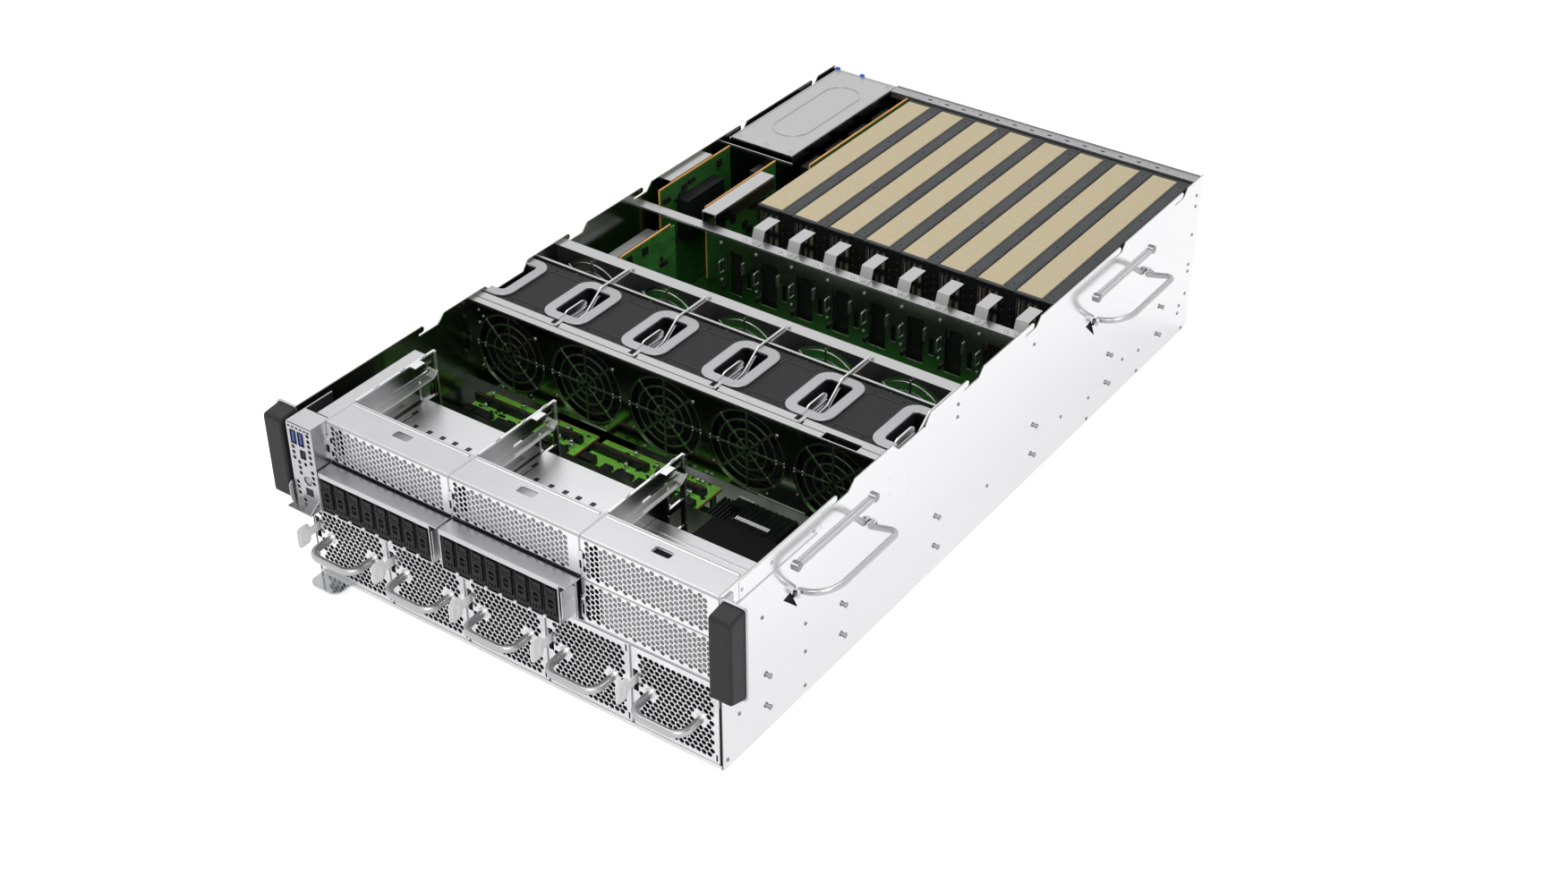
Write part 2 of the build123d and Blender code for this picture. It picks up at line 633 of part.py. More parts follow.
with BuildPart() as tie_rail:
    block((-INNER, INNER), (aft(FAN_BACK) + 2, aft(FAN_BACK) + 4.4), (COVER_Z - 3, COVER_Z))
with BuildPart() as cage_floor:
    block((-INNER, INNER), (aft(FAN_WALL), aft(FAN_RAIL_END)), (SHELF_Z, SHELF_Z + THIN))
PARTITION = [(aft(FAN_WALL) + THIN, SHELF_Z + THIN), (aft(FAN_REAR_WALL), SHELF_Z + THIN),
             (aft(FAN_REAR_WALL), COVER_Z - THIN), (aft(FAN_BACK) + 5, COVER_Z - THIN),
             (aft(FAN_BACK) + 5, FAN_TOP - 1.6), (aft(293), FAN_TOP - 1.6), (aft(272), 155),
             (aft(240), 155), (aft(FAN_FRONT), FAN_TOP - 1.6), (aft(FAN_WALL) + THIN, FAN_TOP - 1.6)]
with BuildPart() as partitions:
    for gap in range(1, FAN_COUNT):
        x = (fan_centres[gap - 1] + fan_centres[gap]) / 2
        prism(Plane.YZ.offset(x - 0.4), PARTITION, 0.8)
save("fan_cage", group("fan_cage", cage_front, cage_rear, tie_rail, cage_floor, partitions))


# Fan modules: housing with a round duct, finger guard, motor base and half loops for lifting
POCKET_FLOOR = 151.0
MOTOR_R = 15.0
MOTOR_FRONT = 272.0
GUARD_T = 1.4
GUARD_RINGS = (33.0, 23.5, 14.0)
GUARD_BAR = 1.6
GUARD_RIM = 38.2
SEAT_R = 38.4
BASE_T = 5.0
BORE_L = 20.0
STRUT_SPAN = 2 * GUARD_RIM - 0.4
half_fan = FAN_W / 2
loop_mid = aft((FAN_FRONT + FAN_BACK) / 2 - 1)
pocket_half = LOOP_L / 2 - LOOP_RING
with BuildPart() as housing:
    block((-half_fan, half_fan), (aft(FAN_FRONT), aft(FAN_BACK)), (FAN_BOTTOM, FAN_TOP))
    # Duct, with a seat for the finger guard at its mouth and one for the motor base at its rear
    for radius, start, end in ((DUCT_R, FAN_FRONT, FAN_BACK), (SEAT_R, FAN_FRONT, FAN_FRONT + GUARD_T),
                               (SEAT_R, FAN_BACK - BASE_T, FAN_BACK)):
        with BuildSketch(at_y(aft(end))):
            with Locations((0, FAN_Z)):
                Circle(radius)
        extrude(amount=end - start, mode=Mode.SUBTRACT)
    # Finger pockets inside the half loops
    for middle in (-FAN_PITCH / 2, FAN_PITCH / 2):
        block((middle - LOOP_W / 2 + LOOP_RING, middle + LOOP_W / 2 - LOOP_RING),
              (loop_mid - pocket_half, loop_mid + pocket_half), (POCKET_FLOOR, FAN_TOP), mode=Mode.SUBTRACT)

# Housing in four seated pieces: duct body, front bar, web between the pockets, and rear bar
HOUSING_PIECES = ((aft(FAN_FRONT), aft(FAN_BACK), FAN_BOTTOM, POCKET_FLOOR),
                  (aft(FAN_FRONT), loop_mid - pocket_half, POCKET_FLOOR, FAN_TOP),
                  (loop_mid - pocket_half, loop_mid + pocket_half, POCKET_FLOOR, FAN_TOP),
                  (loop_mid + pocket_half, aft(FAN_BACK), POCKET_FLOOR, FAN_TOP))
fan_pieces = []
for front, back, low, high in HOUSING_PIECES:
    with BuildPart() as housing_piece:
        add(housing.part)
        block((-half_fan, half_fan), (front, back), (low, high), mode=Mode.INTERSECT)
    fan_pieces.append(housing_piece)

# Half loops for lifting, cut back to this module's share
with BuildPart() as loops:
    with BuildSketch(Plane.XY.offset(FAN_TOP)):
        with Locations((-FAN_PITCH / 2, loop_mid), (FAN_PITCH / 2, loop_mid)):
            RectangleRounded(LOOP_W, LOOP_L, 14)
            RectangleRounded(LOOP_W - 2 * LOOP_RING, LOOP_L - 2 * LOOP_RING, 4, mode=Mode.SUBTRACT)
        with Locations((0, loop_mid)):
            Rectangle(FAN_PITCH - 0.5, LOOP_L + 2, mode=Mode.INTERSECT)
    extrude(amount=2)

# Finger guard: a rim in the seat, three rings and eight spokes
with BuildPart() as guard:
    with BuildSketch(at_y(aft(FAN_FRONT) + GUARD_T)):
        for radius in (GUARD_RIM, *GUARD_RINGS):
            with Locations((0, FAN_Z)):
                Circle(radius)
                Circle(radius - GUARD_BAR, mode=Mode.SUBTRACT)
        for turn in range(4):
            with Locations((0, FAN_Z)):
                Rectangle(STRUT_SPAN, GUARD_BAR, rotation=45 * turn)
    extrude(amount=GUARD_T)

# Motor base on four struts behind the rotor
with BuildPart() as motor_base:
    with BuildSketch(at_y(aft(FAN_BACK))):
        with Locations((0, FAN_Z)):
            Circle(MOTOR_R)
            Rectangle(STRUT_SPAN, 3, rotation=45)
            Rectangle(STRUT_SPAN, 3, rotation=-45)
    extrude(amount=BASE_T)
    with BuildSketch(at_y(aft(FAN_BACK) - BASE_T)):
        with Locations((0, FAN_Z)):
            Circle(MOTOR_R)
    extrude(amount=FAN_BACK - BASE_T - MOTOR_FRONT)
    with BuildSketch(at_y(aft(MOTOR_FRONT) + BORE_L)):
        with Locations((0, FAN_Z)):
            Circle(SHAFT_R + RUNNING)
    extrude(amount=BORE_L, mode=Mode.SUBTRACT)
fan_pieces += [loops, guard, motor_base]

# Rotor: hub with twisted blades; each blade runs from a steep root to a flatter tip
ROTOR_FRONT = 238.0
ROTOR_BACK = 269.0
BLADE_T = 1.6
ROOT_PITCH = 50.0
TIP_PITCH = 26.0
BLADE_ROOT = HUB_R - 1.5
BLADE_CHORD = 26.0
ROTOR_LEAD = 2.0


def blade_section(pitch, chord):
    """Four corners of a leaning strip: across the blade and along the shaft."""
    lean = radians(pitch)
    half = chord / 2
    along = (half * cos(lean), half * sin(lean))
    side = (-BLADE_T / 2 * sin(lean), BLADE_T / 2 * cos(lean))
    ends = ((1, 1), (-1, 1), (-1, -1), (1, -1))
    return [(a * along[0] + s * side[0], a * along[1] + s * side[1]) for a, s in ends]


rotor_mid = aft((ROTOR_FRONT + ROTOR_BACK) / 2)
with BuildPart() as rotor_blank:
    with BuildSketch(at_y(aft(ROTOR_BACK))):
        with Locations((0, FAN_Z)):
            Circle(HUB_R)
    extrude(amount=ROTOR_BACK - ROTOR_FRONT)
    fillet(rotor_blank.faces().sort_by(Axis.Y)[0].edges(), radius=3)
    for blade in range(BLADES):
        angle = radians(360 / BLADES * blade)
        outward = Vector(cos(angle), 0, sin(angle))
        across = Vector(-sin(angle), 0, cos(angle))
        centre = Vector(0, rotor_mid, FAN_Z)
        with BuildSketch(Plane(origin=centre + outward * BLADE_ROOT, x_dir=across, z_dir=outward)):
            with BuildLine():
                Polyline(*blade_section(ROOT_PITCH, BLADE_CHORD), close=True)
            make_face()
        with BuildSketch(Plane(origin=centre + outward * (ROTOR_R + 1), x_dir=across, z_dir=outward)):
            with BuildLine():
                Polyline(*blade_section(TIP_PITCH, BLADE_CHORD + 3), close=True)
            make_face()
        loft()
    with BuildSketch(at_y(aft(ROTOR_BACK) + ROTOR_LEAD)):
        with Locations((0, FAN_Z)):
            Circle(ROTOR_R)
    extrude(amount=ROTOR_BACK - ROTOR_FRONT + 2 * ROTOR_LEAD, mode=Mode.INTERSECT)
    with BuildSketch(at_y(aft(ROTOR_BACK) + 18)):
        with Locations((0, FAN_Z)):
            Circle(SHAFT_R)
    extrude(amount=18)

for number, centre in enumerate(fan_centres, 1):
    save(f"fan_{number}", group("fan", *fan_pieces).moved(Location((centre, 0, 0))))
    with BuildPart() as rotor:
        with Locations((centre, 0, 0)):
            add(rotor_blank.part)
    save(f"rotor_{number}", rotor.part)


# Middle beam: folded bar over a windowed wall, with a hold-down clip for each card
BEAM_Z = 160.0
CLIP_W = 13.0
WINDOW = (-107.0, 18.0, 100.0, 146.0)
with BuildPart() as middle_beam:
    block((-INNER, INNER), (aft(MID_BEAM), aft(MID_BEAM_END)), (BEAM_Z - THIN, BEAM_Z))
    block((-130, INNER), (aft(MID_BEAM), aft(MID_BEAM) + THIN), (SHELF_Z, BEAM_Z - THIN))
    for card in range(GPU_COUNT):
        left = WINDOW[0] + GPU_PITCH * card
        block((left, left + WINDOW[1]), (aft(MID_BEAM), aft(MID_BEAM) + THIN), WINDOW[2:], mode=Mode.SUBTRACT)
        block((left + 24, left + 29), (aft(MID_BEAM), aft(MID_BEAM) + THIN), (112, 130), mode=Mode.SUBTRACT)
CLIP_T = 1.2
TAB_Z = GPU_TOP + 1.6
CLIP_PROFILE = [(aft(452), BEAM_Z), (aft(461.5), BEAM_Z), (aft(465), TAB_Z), (aft(489), TAB_Z),
                (aft(489), TAB_Z + CLIP_T), (aft(464.2), TAB_Z + CLIP_T), (aft(460.5), BEAM_Z + CLIP_T),
                (aft(452), BEAM_Z + CLIP_T)]
with BuildPart() as clips:
    for card in range(GPU_COUNT):
        left = GPU_FIRST + FIN_W + GPU_PITCH * card
        prism(Plane.YZ.offset(left), CLIP_PROFILE, CLIP_W)
        with BuildSketch(Plane.XY.offset(BEAM_Z + CLIP_T)):
            with Locations((left + CLIP_W / 2, aft(456))):
                Circle(2.4)
        extrude(amount=CLIP_T)
save("middle_beam", group("middle_beam", middle_beam, clips))


# Accelerator cards: fin stacks, and shrouds with end caps and rear brackets
with BuildPart() as fin_stacks:
    for card in range(GPU_COUNT):
        left = GPU_FIRST + GPU_PITCH * card
        block((left, left + FIN_W), (aft(GPU_START + 3), aft(GPU_END - 3)), (GPU_BOTTOM + 6, GPU_TOP))
save("gpu_fin_stacks", group("gpu_fin_stacks", fin_stacks))

with BuildPart() as shrouds:
    for card in range(GPU_COUNT):
        left = GPU_FIRST + GPU_PITCH * card
        right = left + FIN_W + SHROUD_W
        block((left + FIN_W, right), (aft(GPU_START), aft(GPU_END)), (GPU_BOTTOM, GPU_TOP))
with BuildPart() as caps:
    for card in range(GPU_COUNT):
        left = GPU_FIRST + GPU_PITCH * card
        for start in (GPU_START, GPU_END - 3):
            block((left, left + FIN_W), (aft(start), aft(start + 3)), (GPU_BOTTOM, GPU_TOP))
            with BuildSketch(at_y(aft(start + 3))):
                with Locations((left + FIN_W / 2, 128)):
                    with GridLocations(7.5, 24, 3, 3):
                        Rectangle(5.5, 19)
            extrude(amount=3, mode=Mode.SUBTRACT)
        block((left, left + FIN_W + SHROUD_W), (aft(GPU_END), aft(GPU_END) + 1), (GPU_BOTTOM, GPU_TOP - 6))
save("gpu_shrouds", group("gpu_shrouds", shrouds, caps))


# Circuit boards: main boards, riser cards and the tall boards beside the fans and the cards
BOARD_Z = 76.4
BOARD_T = 1.6
LOWER_BOARD_Z = 40.0
FRONT_TRAY_Z = 50.0
tray_top = FRONT_TRAY_Z + THIN
lower_top = LOWER_BOARD_Z + BOARD_T
FRONT_BOARDS = ((-202, -74), (-66, 61))
FRONT_PILLARS = [(x, aft(y)) for x in (-196, -80, -60, 55) for y in (176, 208)]
LOWER_PILLARS = [(x, aft(y)) for x in (-200, -70, 70, 200) for y in (370, 570, 770)]
PILLAR_R = 3.0
# Left face, start, end and top of each board that stands upright on the lower one
TALL_BOARDS = ((-153.8, 360, 430, 168), (-205.8, 474, 590, 169), (-149.4, 474, 590, 169),
               (-115.2, 601, 780, 170))
with BuildPart() as boards:
    for left, right in FRONT_BOARDS:
        block((left, right), (aft(171), aft(213)), (BOARD_Z, BOARD_Z + BOARD_T))
    block((-210, 210), (aft(360), aft(780)), (LOWER_BOARD_Z, lower_top))
with BuildPart() as tall_boards:
    for left, start, end, top in TALL_BOARDS:
        block((left, left + BOARD_T), (aft(start), aft(end)), (lower_top, top))
# Front tray from wall to wall, and round pillars under both levels of boards
with BuildPart() as front_tray:
    block((-INNER, INNER), (aft(169), aft(213.6)), (FRONT_TRAY_Z, tray_top))
with BuildPart() as pillars:
    with BuildSketch(Plane.XY.offset(tray_top)):
        with Locations(*FRONT_PILLARS):
            Circle(PILLAR_R)
    extrude(amount=BOARD_Z - tray_top)
    with BuildSketch(Plane.XY.offset(SHEET)):
        with Locations(*LOWER_PILLARS):
            Circle(PILLAR_R)
    extrude(amount=LOWER_BOARD_Z - SHEET)
save("circuit_boards", group("circuit_boards", boards, tall_boards, front_tray, pillars))

# Board parts: connectors, heat sinks and card slots
CONNECTORS = ((-202, -130), (-116, -80), (-66, -6), (4, 56))
CONNECTOR_H = 7.0
SINK_BASE = 56.0
SINK_STEP = 4.0
SINK_TOP = 82.0
SINK_FINS = 9
SINK_PITCH = 6.5
BLOCK_STARTS = (612, 655, 698, 741)
board_top = BOARD_Z + BOARD_T
with BuildPart() as connectors:
    for left, right in CONNECTORS:
        block((left, right), (aft(193), aft(199)), (board_top, board_top + CONNECTOR_H))
    # Card slots on the lower board, one under each card
    for card in range(GPU_COUNT):
        x = GPU_FIRST + GPU_PITCH * card + FIN_W + 4
        block((x, x + 7), (aft(560), aft(650)), (lower_top, GPU_BOTTOM))
    # Blocks beside the tall rear board, and the riser's heat sink and connector
    for start in BLOCK_STARTS:
        block((-133, -115.2), (aft(start), aft(start + 30)), (120, 158))
    block((-204.2, -190), (aft(500), aft(560)), (105, 150))
    block((-167.4, -149.4), (aft(572), aft(590)), (90, 160))
# Heat sink to the right of the boards: low base, raised step and upright fins
with BuildPart() as sink_base:
    block((66, 215), (aft(171), aft(213)), (tray_top, SINK_BASE))
with BuildPart() as sink_step:
    block((95, 150), (aft(172), aft(208)), (SINK_BASE, SINK_BASE + SINK_STEP))
with BuildPart() as sink_fins:
    for fin in range(SINK_FINS):
        x = 96 + fin * SINK_PITCH
        block((x, x + 1.2), (aft(172), aft(208)), (SINK_BASE + SINK_STEP, SINK_TOP))
save("board_parts", group("board_parts", connectors, sink_base, sink_step, sink_fins))


# Network cage: cover with a raised track, side walls, its drawer and the riser channels
NIC_LEFT = -214.0
NIC_RIGHT = -138.0
NIC_START = 604.0
NIC_BOTTOM = 92.0
NIC_END = 799.0
with BuildPart() as nic_cage:
    block((NIC_LEFT, NIC_RIGHT), (aft(NIC_START), aft(NIC_END)), (COVER_Z - THIN, COVER_Z))
    for side in (NIC_LEFT, NIC_RIGHT - THIN):
        block((side, side + THIN), (aft(NIC_START), aft(NIC_END)), (NIC_BOTTOM, COVER_Z - THIN))
    block((NIC_LEFT, NIC_RIGHT), (aft(NIC_START), aft(NIC_END)), (NIC_BOTTOM, NIC_BOTTOM + THIN))
    block((NIC_LEFT, NIC_RIGHT), (aft(NIC_START), aft(NIC_START) + THIN), (NIC_BOTTOM, COVER_Z - THIN))
    with BuildSketch(Plane.XY.offset(COVER_Z)):
        with Locations(((-195.5 - 153.5) / 2, aft(702))):
            SlotOverall(130, 42, rotation=90)
            SlotOverall(127, 39, rotation=90, mode=Mode.SUBTRACT)
    extrude(amount=0.7)
with BuildPart() as nic_drawer:
    block((NIC_LEFT + 2, NIC_RIGHT - 2), (aft(NIC_START) + 3, aft(NIC_END)), (NIC_BOTTOM + THIN, COVER_Z - 3))
with BuildPart() as riser_channels:
    for left, right, start, end in ((-INNER, -206, 494, 562), (-145, -129, MID_BEAM_END, 561)):
        block((left, right), (aft(start), aft(end)), (COVER_Z - THIN, COVER_Z))
        block((left, left + THIN), (aft(start), aft(end)), (COVER_Z - 14, COVER_Z - THIN))
        block((right - THIN, right), (aft(start), aft(end)), (COVER_Z - 14, COVER_Z - THIN))
    # Upright sheet across the front of the cage
    block((-INNER, -129), (aft(591), aft(592)), (100, COVER_Z))
save("nic_cage", group("nic_cage", nic_cage, nic_drawer, riser_channels))


# Rear panel: sheet with card windows, a network window, vents and power inlets, and its top beam
INLET_Z = 26.0
VENT_ROWS = 2
VENT_COLUMNS = 20
VENT_PITCH = 21.0
SOCKET_HALF = (15.0, 11.5)
MOUTH_HALF = (12.5, 9.0)
FLANGE = 2.5
SOCKET_DEPTH = 26.0
MOUTH_DEPTH = 20.0
BEAM_X = (-137.6, 215.0)
with BuildPart() as rear_panel:
    block((-INNER, INNER), (-FRONT - THIN, -FRONT), (SHEET, COVER_Z - THIN))
    with BuildSketch(at_y(-FRONT)):
        for card in range(GPU_COUNT):
            with Locations((GPU_FIRST + GPU_PITCH * card + (FIN_W + SHROUD_W) / 2, 112)):
                Rectangle(35, 92)
        with Locations((-176, 131)):
            Rectangle(70, 70)
        with Locations(*[(PSU_FIRST + PSU_PITCH * bay + PSU_W / 2, INLET_Z) for bay in range(PSU_COUNT)]):
            RectangleRounded(31, 24, 3)
        with Locations((0, 51)):
            with GridLocations(VENT_PITCH, 5.5, VENT_COLUMNS, VENT_ROWS):
                Rectangle(16, 3.4)
    extrude(amount=THIN, mode=Mode.SUBTRACT)
with BuildPart() as rear_beam:
    block(BEAM_X, (aft(REAR_BEAM), -FRONT), (COVER_Z - THIN, COVER_Z))
    block(BEAM_X, (aft(REAR_BEAM), aft(REAR_BEAM) + THIN), (COVER_Z - 7, COVER_Z - THIN))
    with BuildSketch(Plane.XY.offset(COVER_Z - THIN)):
        with Locations(*[(-92 + 20.3 * hole, aft(792)) for hole in range(14)]):
            SlotOverall(5, 2.4)
    extrude(amount=THIN, mode=Mode.SUBTRACT)
# Power inlets: shrouded sockets with three blades
with BuildPart() as inlets:
    for bay in range(PSU_COUNT):
        x = PSU_FIRST + PSU_PITCH * bay + PSU_W / 2
        half_w, half_h = SOCKET_HALF
        mouth_w, mouth_h = MOUTH_HALF
        block((x - half_w, x + half_w), (-FRONT - SOCKET_DEPTH, -FRONT), (INLET_Z - half_h, INLET_Z + half_h))
        block((x - half_w - FLANGE, x + half_w + FLANGE), (-FRONT - 4, -FRONT - THIN),
              (INLET_Z - half_h - FLANGE, INLET_Z + half_h + FLANGE))
        block((x - mouth_w, x + mouth_w), (-FRONT - MOUTH_DEPTH, -FRONT),
              (INLET_Z - mouth_h, INLET_Z + mouth_h), mode=Mode.SUBTRACT)
        for blade_x, blade_z in ((-7, -3), (0, 3), (7, -3)):
            block((x + blade_x - 1, x + blade_x + 1), (-FRONT - MOUTH_DEPTH, -FRONT - 4),
                  (INLET_Z + blade_z - 2.5, INLET_Z + blade_z + 2.5))
save("rear_panel", group("rear_panel", rear_panel, rear_beam, inlets))
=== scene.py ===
import random
from math import cos, pi, radians, sin, tan

import bmesh
import bpy
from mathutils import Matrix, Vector


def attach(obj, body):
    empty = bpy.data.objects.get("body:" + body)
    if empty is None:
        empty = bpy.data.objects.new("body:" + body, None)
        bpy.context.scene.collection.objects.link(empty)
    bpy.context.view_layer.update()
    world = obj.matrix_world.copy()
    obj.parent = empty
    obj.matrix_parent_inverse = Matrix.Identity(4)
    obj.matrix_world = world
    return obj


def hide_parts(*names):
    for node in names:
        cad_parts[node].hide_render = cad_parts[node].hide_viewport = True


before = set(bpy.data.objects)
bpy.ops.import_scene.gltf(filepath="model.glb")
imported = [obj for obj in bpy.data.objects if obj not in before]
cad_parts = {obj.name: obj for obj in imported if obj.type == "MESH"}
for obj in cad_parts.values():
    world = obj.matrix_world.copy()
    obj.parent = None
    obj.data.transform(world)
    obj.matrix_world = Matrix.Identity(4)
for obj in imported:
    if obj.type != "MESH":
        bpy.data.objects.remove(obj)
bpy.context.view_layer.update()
scene = bpy.context.scene

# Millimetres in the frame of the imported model; depths are measured back from the front panel
MM = 0.001
FRONT = -400.0
SIDE = 218.5


def aft(depth):
    """Y of a point this far behind the front panel."""
    return FRONT + depth


def span(near, far):
    """Y limits of a form between two depths."""
    return aft(near), aft(far)


def side_view(*points):
    """Outline across X from pairs of depth and height."""
    return [(aft(depth), height) for depth, height in points]


def course(x, *points):
    """Path at one X from pairs of depth and height."""
    return [(x, aft(depth), height) for depth, height in points]


def beyond(side, near, far):
    """X limits of a form from two distances to one side of the middle."""
    return sorted((side * near, side * far))


# Mesh building

def spot(axis, a, b, h):
    """Point from two coordinates across an axis and one along it."""
    return {"x": (h, a, b), "y": (a, h, b), "z": (a, b, h)}[axis]


def rectangle(a, b):
    """Four corners from two pairs of limits."""
    return [(a[0], b[0]), (a[1], b[0]), (a[1], b[1]), (a[0], b[1])]


def circle(a, b, radius, sides=16, start=0.0):
    """Points round a centre."""
    turns = [start + 2 * pi * k / sides for k in range(sides)]
    return [(a + radius * cos(t), b + radius * sin(t)) for t in turns]


def rounded(a, b, radius, steps=4):
    """Rectangle between two pairs of limits with rounded corners."""
    points = []
    centres = [(a[1] - radius, b[1] - radius), (a[0] + radius, b[1] - radius),
               (a[0] + radius, b[0] + radius), (a[1] - radius, b[0] + radius)]
    for quarter, (ca, cb) in enumerate(centres):
        for step in range(steps + 1):
            turn = (quarter + step / steps) * pi / 2
            points.append((ca + radius * cos(turn), cb + radius * sin(turn)))
    return points


def soften(points, radii, steps=6):
    """Open path in space with an arc of the given radius at each inner corner."""
    points = [Vector(p) for p in points]
    path = [points[0]]
    for before, corner, after, radius in zip(points, points[1:], points[2:], radii):
        u, v = (before - corner).normalized(), (after - corner).normalized()
        half = u.angle(v) / 2
        reach = radius / tan(half)
        centre = corner + (u + v).normalized() * radius / sin(half)
        first, last = corner + u * reach - centre, corner + v * reach - centre
        turn = first.angle(last)
        for step in range(steps + 1):
            share = step / steps
            path.append(centre + (first * sin((1 - share) * turn) + last * sin(share * turn)) / sin(turn))
    return path + [points[-1]]


def thread(curve, points, closed):
    """Straight stretches from point to point in a curve."""
    spline = curve.splines.new("POLY")
    spline.points.add(len(points) - 1)
    for point, place in zip(spline.points, points):
        point.co = (*place, 1)
    spline.use_cyclic_u = closed


class Shape:
    """A mesh under construction, in millimetres."""

    def __init__(self):
        self.bm = bmesh.new()

    def skin(self, rings, closed=True):
        """Faces between neighbouring rings of vertices."""
        for low, high in zip(rings, rings[1:]):
            count = max(len(low), len(high))
            for k in range(count if closed else count - 1):
                corners = [low[k % len(low)], low[(k + 1) % len(low)],
                           high[(k + 1) % len(high)], high[k % len(high)]]
                corners = list(dict.fromkeys(corners))
                self.bm.faces.new(corners)

    def prism(self, axis, outline, low, high, shrink=0.0):
        """Closed outline pushed along an axis; shrink narrows the far end about its middle."""
        ma = sum(p[0] for p in outline) / len(outline)
        mb = sum(p[1] for p in outline) / len(outline)
        rings = []
        for h, scale in ((low, 1), (high, 1 - shrink)):
            rings.append([self.bm.verts.new(spot(axis, ma + (a - ma) * scale, mb + (b - mb) * scale, h))
                          for a, b in outline])
        self.bm.faces.new(rings[0])
        self.bm.faces.new(rings[1])
        self.skin(rings)
        return self

    def box(self, x, y, z):
        """Box between three pairs of limits."""
        return self.prism("z", rectangle(x, y), z[0], z[1])

    def comb(self, count, x, pitch, y, z):
        """Row of equal boxes along X, from the limits of the first."""
        for k in range(count):
            self.box((x[0] + k * pitch, x[1] + k * pitch), y, z)

    def lathe(self, axis, a, b, base, profile, sides=16, way=1):
        """Turned form: (radius, height) pairs from the middle of the top outward and down."""
        rings = []
        for radius, height in profile:
            points = [(a, b)] if radius == 0 else circle(a, b, radius, sides)
            rings.append([self.bm.verts.new(spot(axis, p, q, base + way * height)) for p, q in points])
        self.skin(rings)
        if len(rings[-1]) > 1:
            self.bm.faces.new(rings[-1])
        return self

    def screw(self, axis, a, b, base, radius, height):
        """Low head with a drive recess; a negative height points the other way."""
        way = 1 if height > 0 else -1
        rim = way * radius * 0.25
        return self.lathe(axis, a, b, base, [(0, height - 1.6 * rim), (0.42 * radius, height - 1.6 * rim),
                                             (0.5 * radius, height), (0.8 * radius, height),
                                             (radius, height - rim), (radius, 0)])

    def absorb(self, curve, place):
        """Add the mesh of a curve, with each point moved by place."""
        holder = bpy.data.objects.new("curve", curve)
        mesh = bpy.data.meshes.new_from_object(holder)
        bpy.data.objects.remove(holder)
        extra = bmesh.new()
        extra.from_mesh(mesh)
        bmesh.ops.remove_doubles(extra, verts=extra.verts, dist=1e-4)
        for vertex in extra.verts:
            vertex.co = place(vertex.co)
        extra.to_mesh(mesh)
        extra.free()
        self.bm.from_mesh(mesh)
        bpy.data.meshes.remove(mesh)
        bpy.data.curves.remove(curve)
        return self

    def plate(self, axis, outline, holes, low, high, edge=0.0):
        """Flat sheet with holes through it, its edges rounded by edge."""
        curve = bpy.data.curves.new("plate", "CURVE")
        curve.dimensions = "2D"
        curve.fill_mode = "BOTH"
        for loop in (outline, *holes):
            thread(curve, [(a, b, 0) for a, b in loop], True)
        curve.extrude = (high - low) / 2 - edge
        curve.bevel_depth = edge
        curve.bevel_resolution = 0
        curve.offset = -edge
        middle = (low + high) / 2
        return self.absorb(curve, lambda p: Vector(spot(axis, p.x, p.y, middle + p.z)))

    def tube(self, path, radius, smooth=3, closed=False):
        """Round rod along a path in space."""
        curve = bpy.data.curves.new("tube", "CURVE")
        curve.dimensions = "3D"
        thread(curve, path, closed)
        curve.bevel_depth = radius
        curve.bevel_resolution = smooth
        curve.use_fill_caps = not closed
        return self.absorb(curve, lambda p: p.copy())

    def mesh(self, name, crease=35):
        """Finished mesh in metres, smooth apart from its sharp edges."""
        bmesh.ops.recalc_face_normals(self.bm, faces=self.bm.faces)
        bmesh.ops.scale(self.bm, vec=(MM, MM, MM), verts=self.bm.verts)
        mesh = bpy.data.meshes.new(name)
        self.bm.to_mesh(mesh)
        self.bm.free()
        mesh.polygons.foreach_set("use_smooth", [True] * len(mesh.polygons))
        mesh.set_sharp_from_angle(angle=radians(crease))
        return mesh


def shapes(count):
    """Several empty shapes."""
    return [Shape() for _ in range(count)]


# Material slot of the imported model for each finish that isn't named after one
SLOTS = {"painted_shade_black": "black_plastic", "usb_blue": "black_plastic", "touch_blue": "black_plastic",
         "face_steel": "sheet_steel", "loop_steel": "sheet_steel", "nic_steel": "sheet_steel",
         "rear_guard_steel": "stud_steel", "guard_steel": "stud_steel", "keeper_grey": "stud_steel",
         "brown_edge": "fin_aluminium", "tan_edge": "fin_aluminium", "gold": "fin_aluminium",
         "back_grey": "latch_white", "cage_steel": "psu_steel", "bright_green": "board_green",
         "fan_charcoal": "charcoal_plastic"}


def put(name, shape, body, finish, slot=None, bevel=0.0, at=(0, 0, 0), replaces=()):
    """Place a shape or a shared mesh as a piece that rides on a CAD body."""
    if not slot:
        word = finish.name.split(".")[0]
        slot = SLOTS.get(word, word)
    mesh = shape if isinstance(shape, bpy.types.Mesh) else shape.mesh(name)
    if not mesh.materials:
        mesh.materials.append(finish)
    piece = bpy.data.objects.new(name, mesh)
    scene.collection.objects.link(piece)
    piece.location = Vector(at) * MM
    if bevel:
        edge = piece.modifiers.new("edge", "BEVEL")
        edge.width = bevel * MM
        edge.segments = 2
        edge.limit_method = "ANGLE"
        edge.angle_limit = radians(40)
    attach(piece, body)
    if replaces:
        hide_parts(*replaces)


def fixed(name, shape, finish, slot=None, **extra):
    """Place a piece that stays with the chassis."""
    put(name, shape, "chassis", finish, slot, **extra)


# Materials

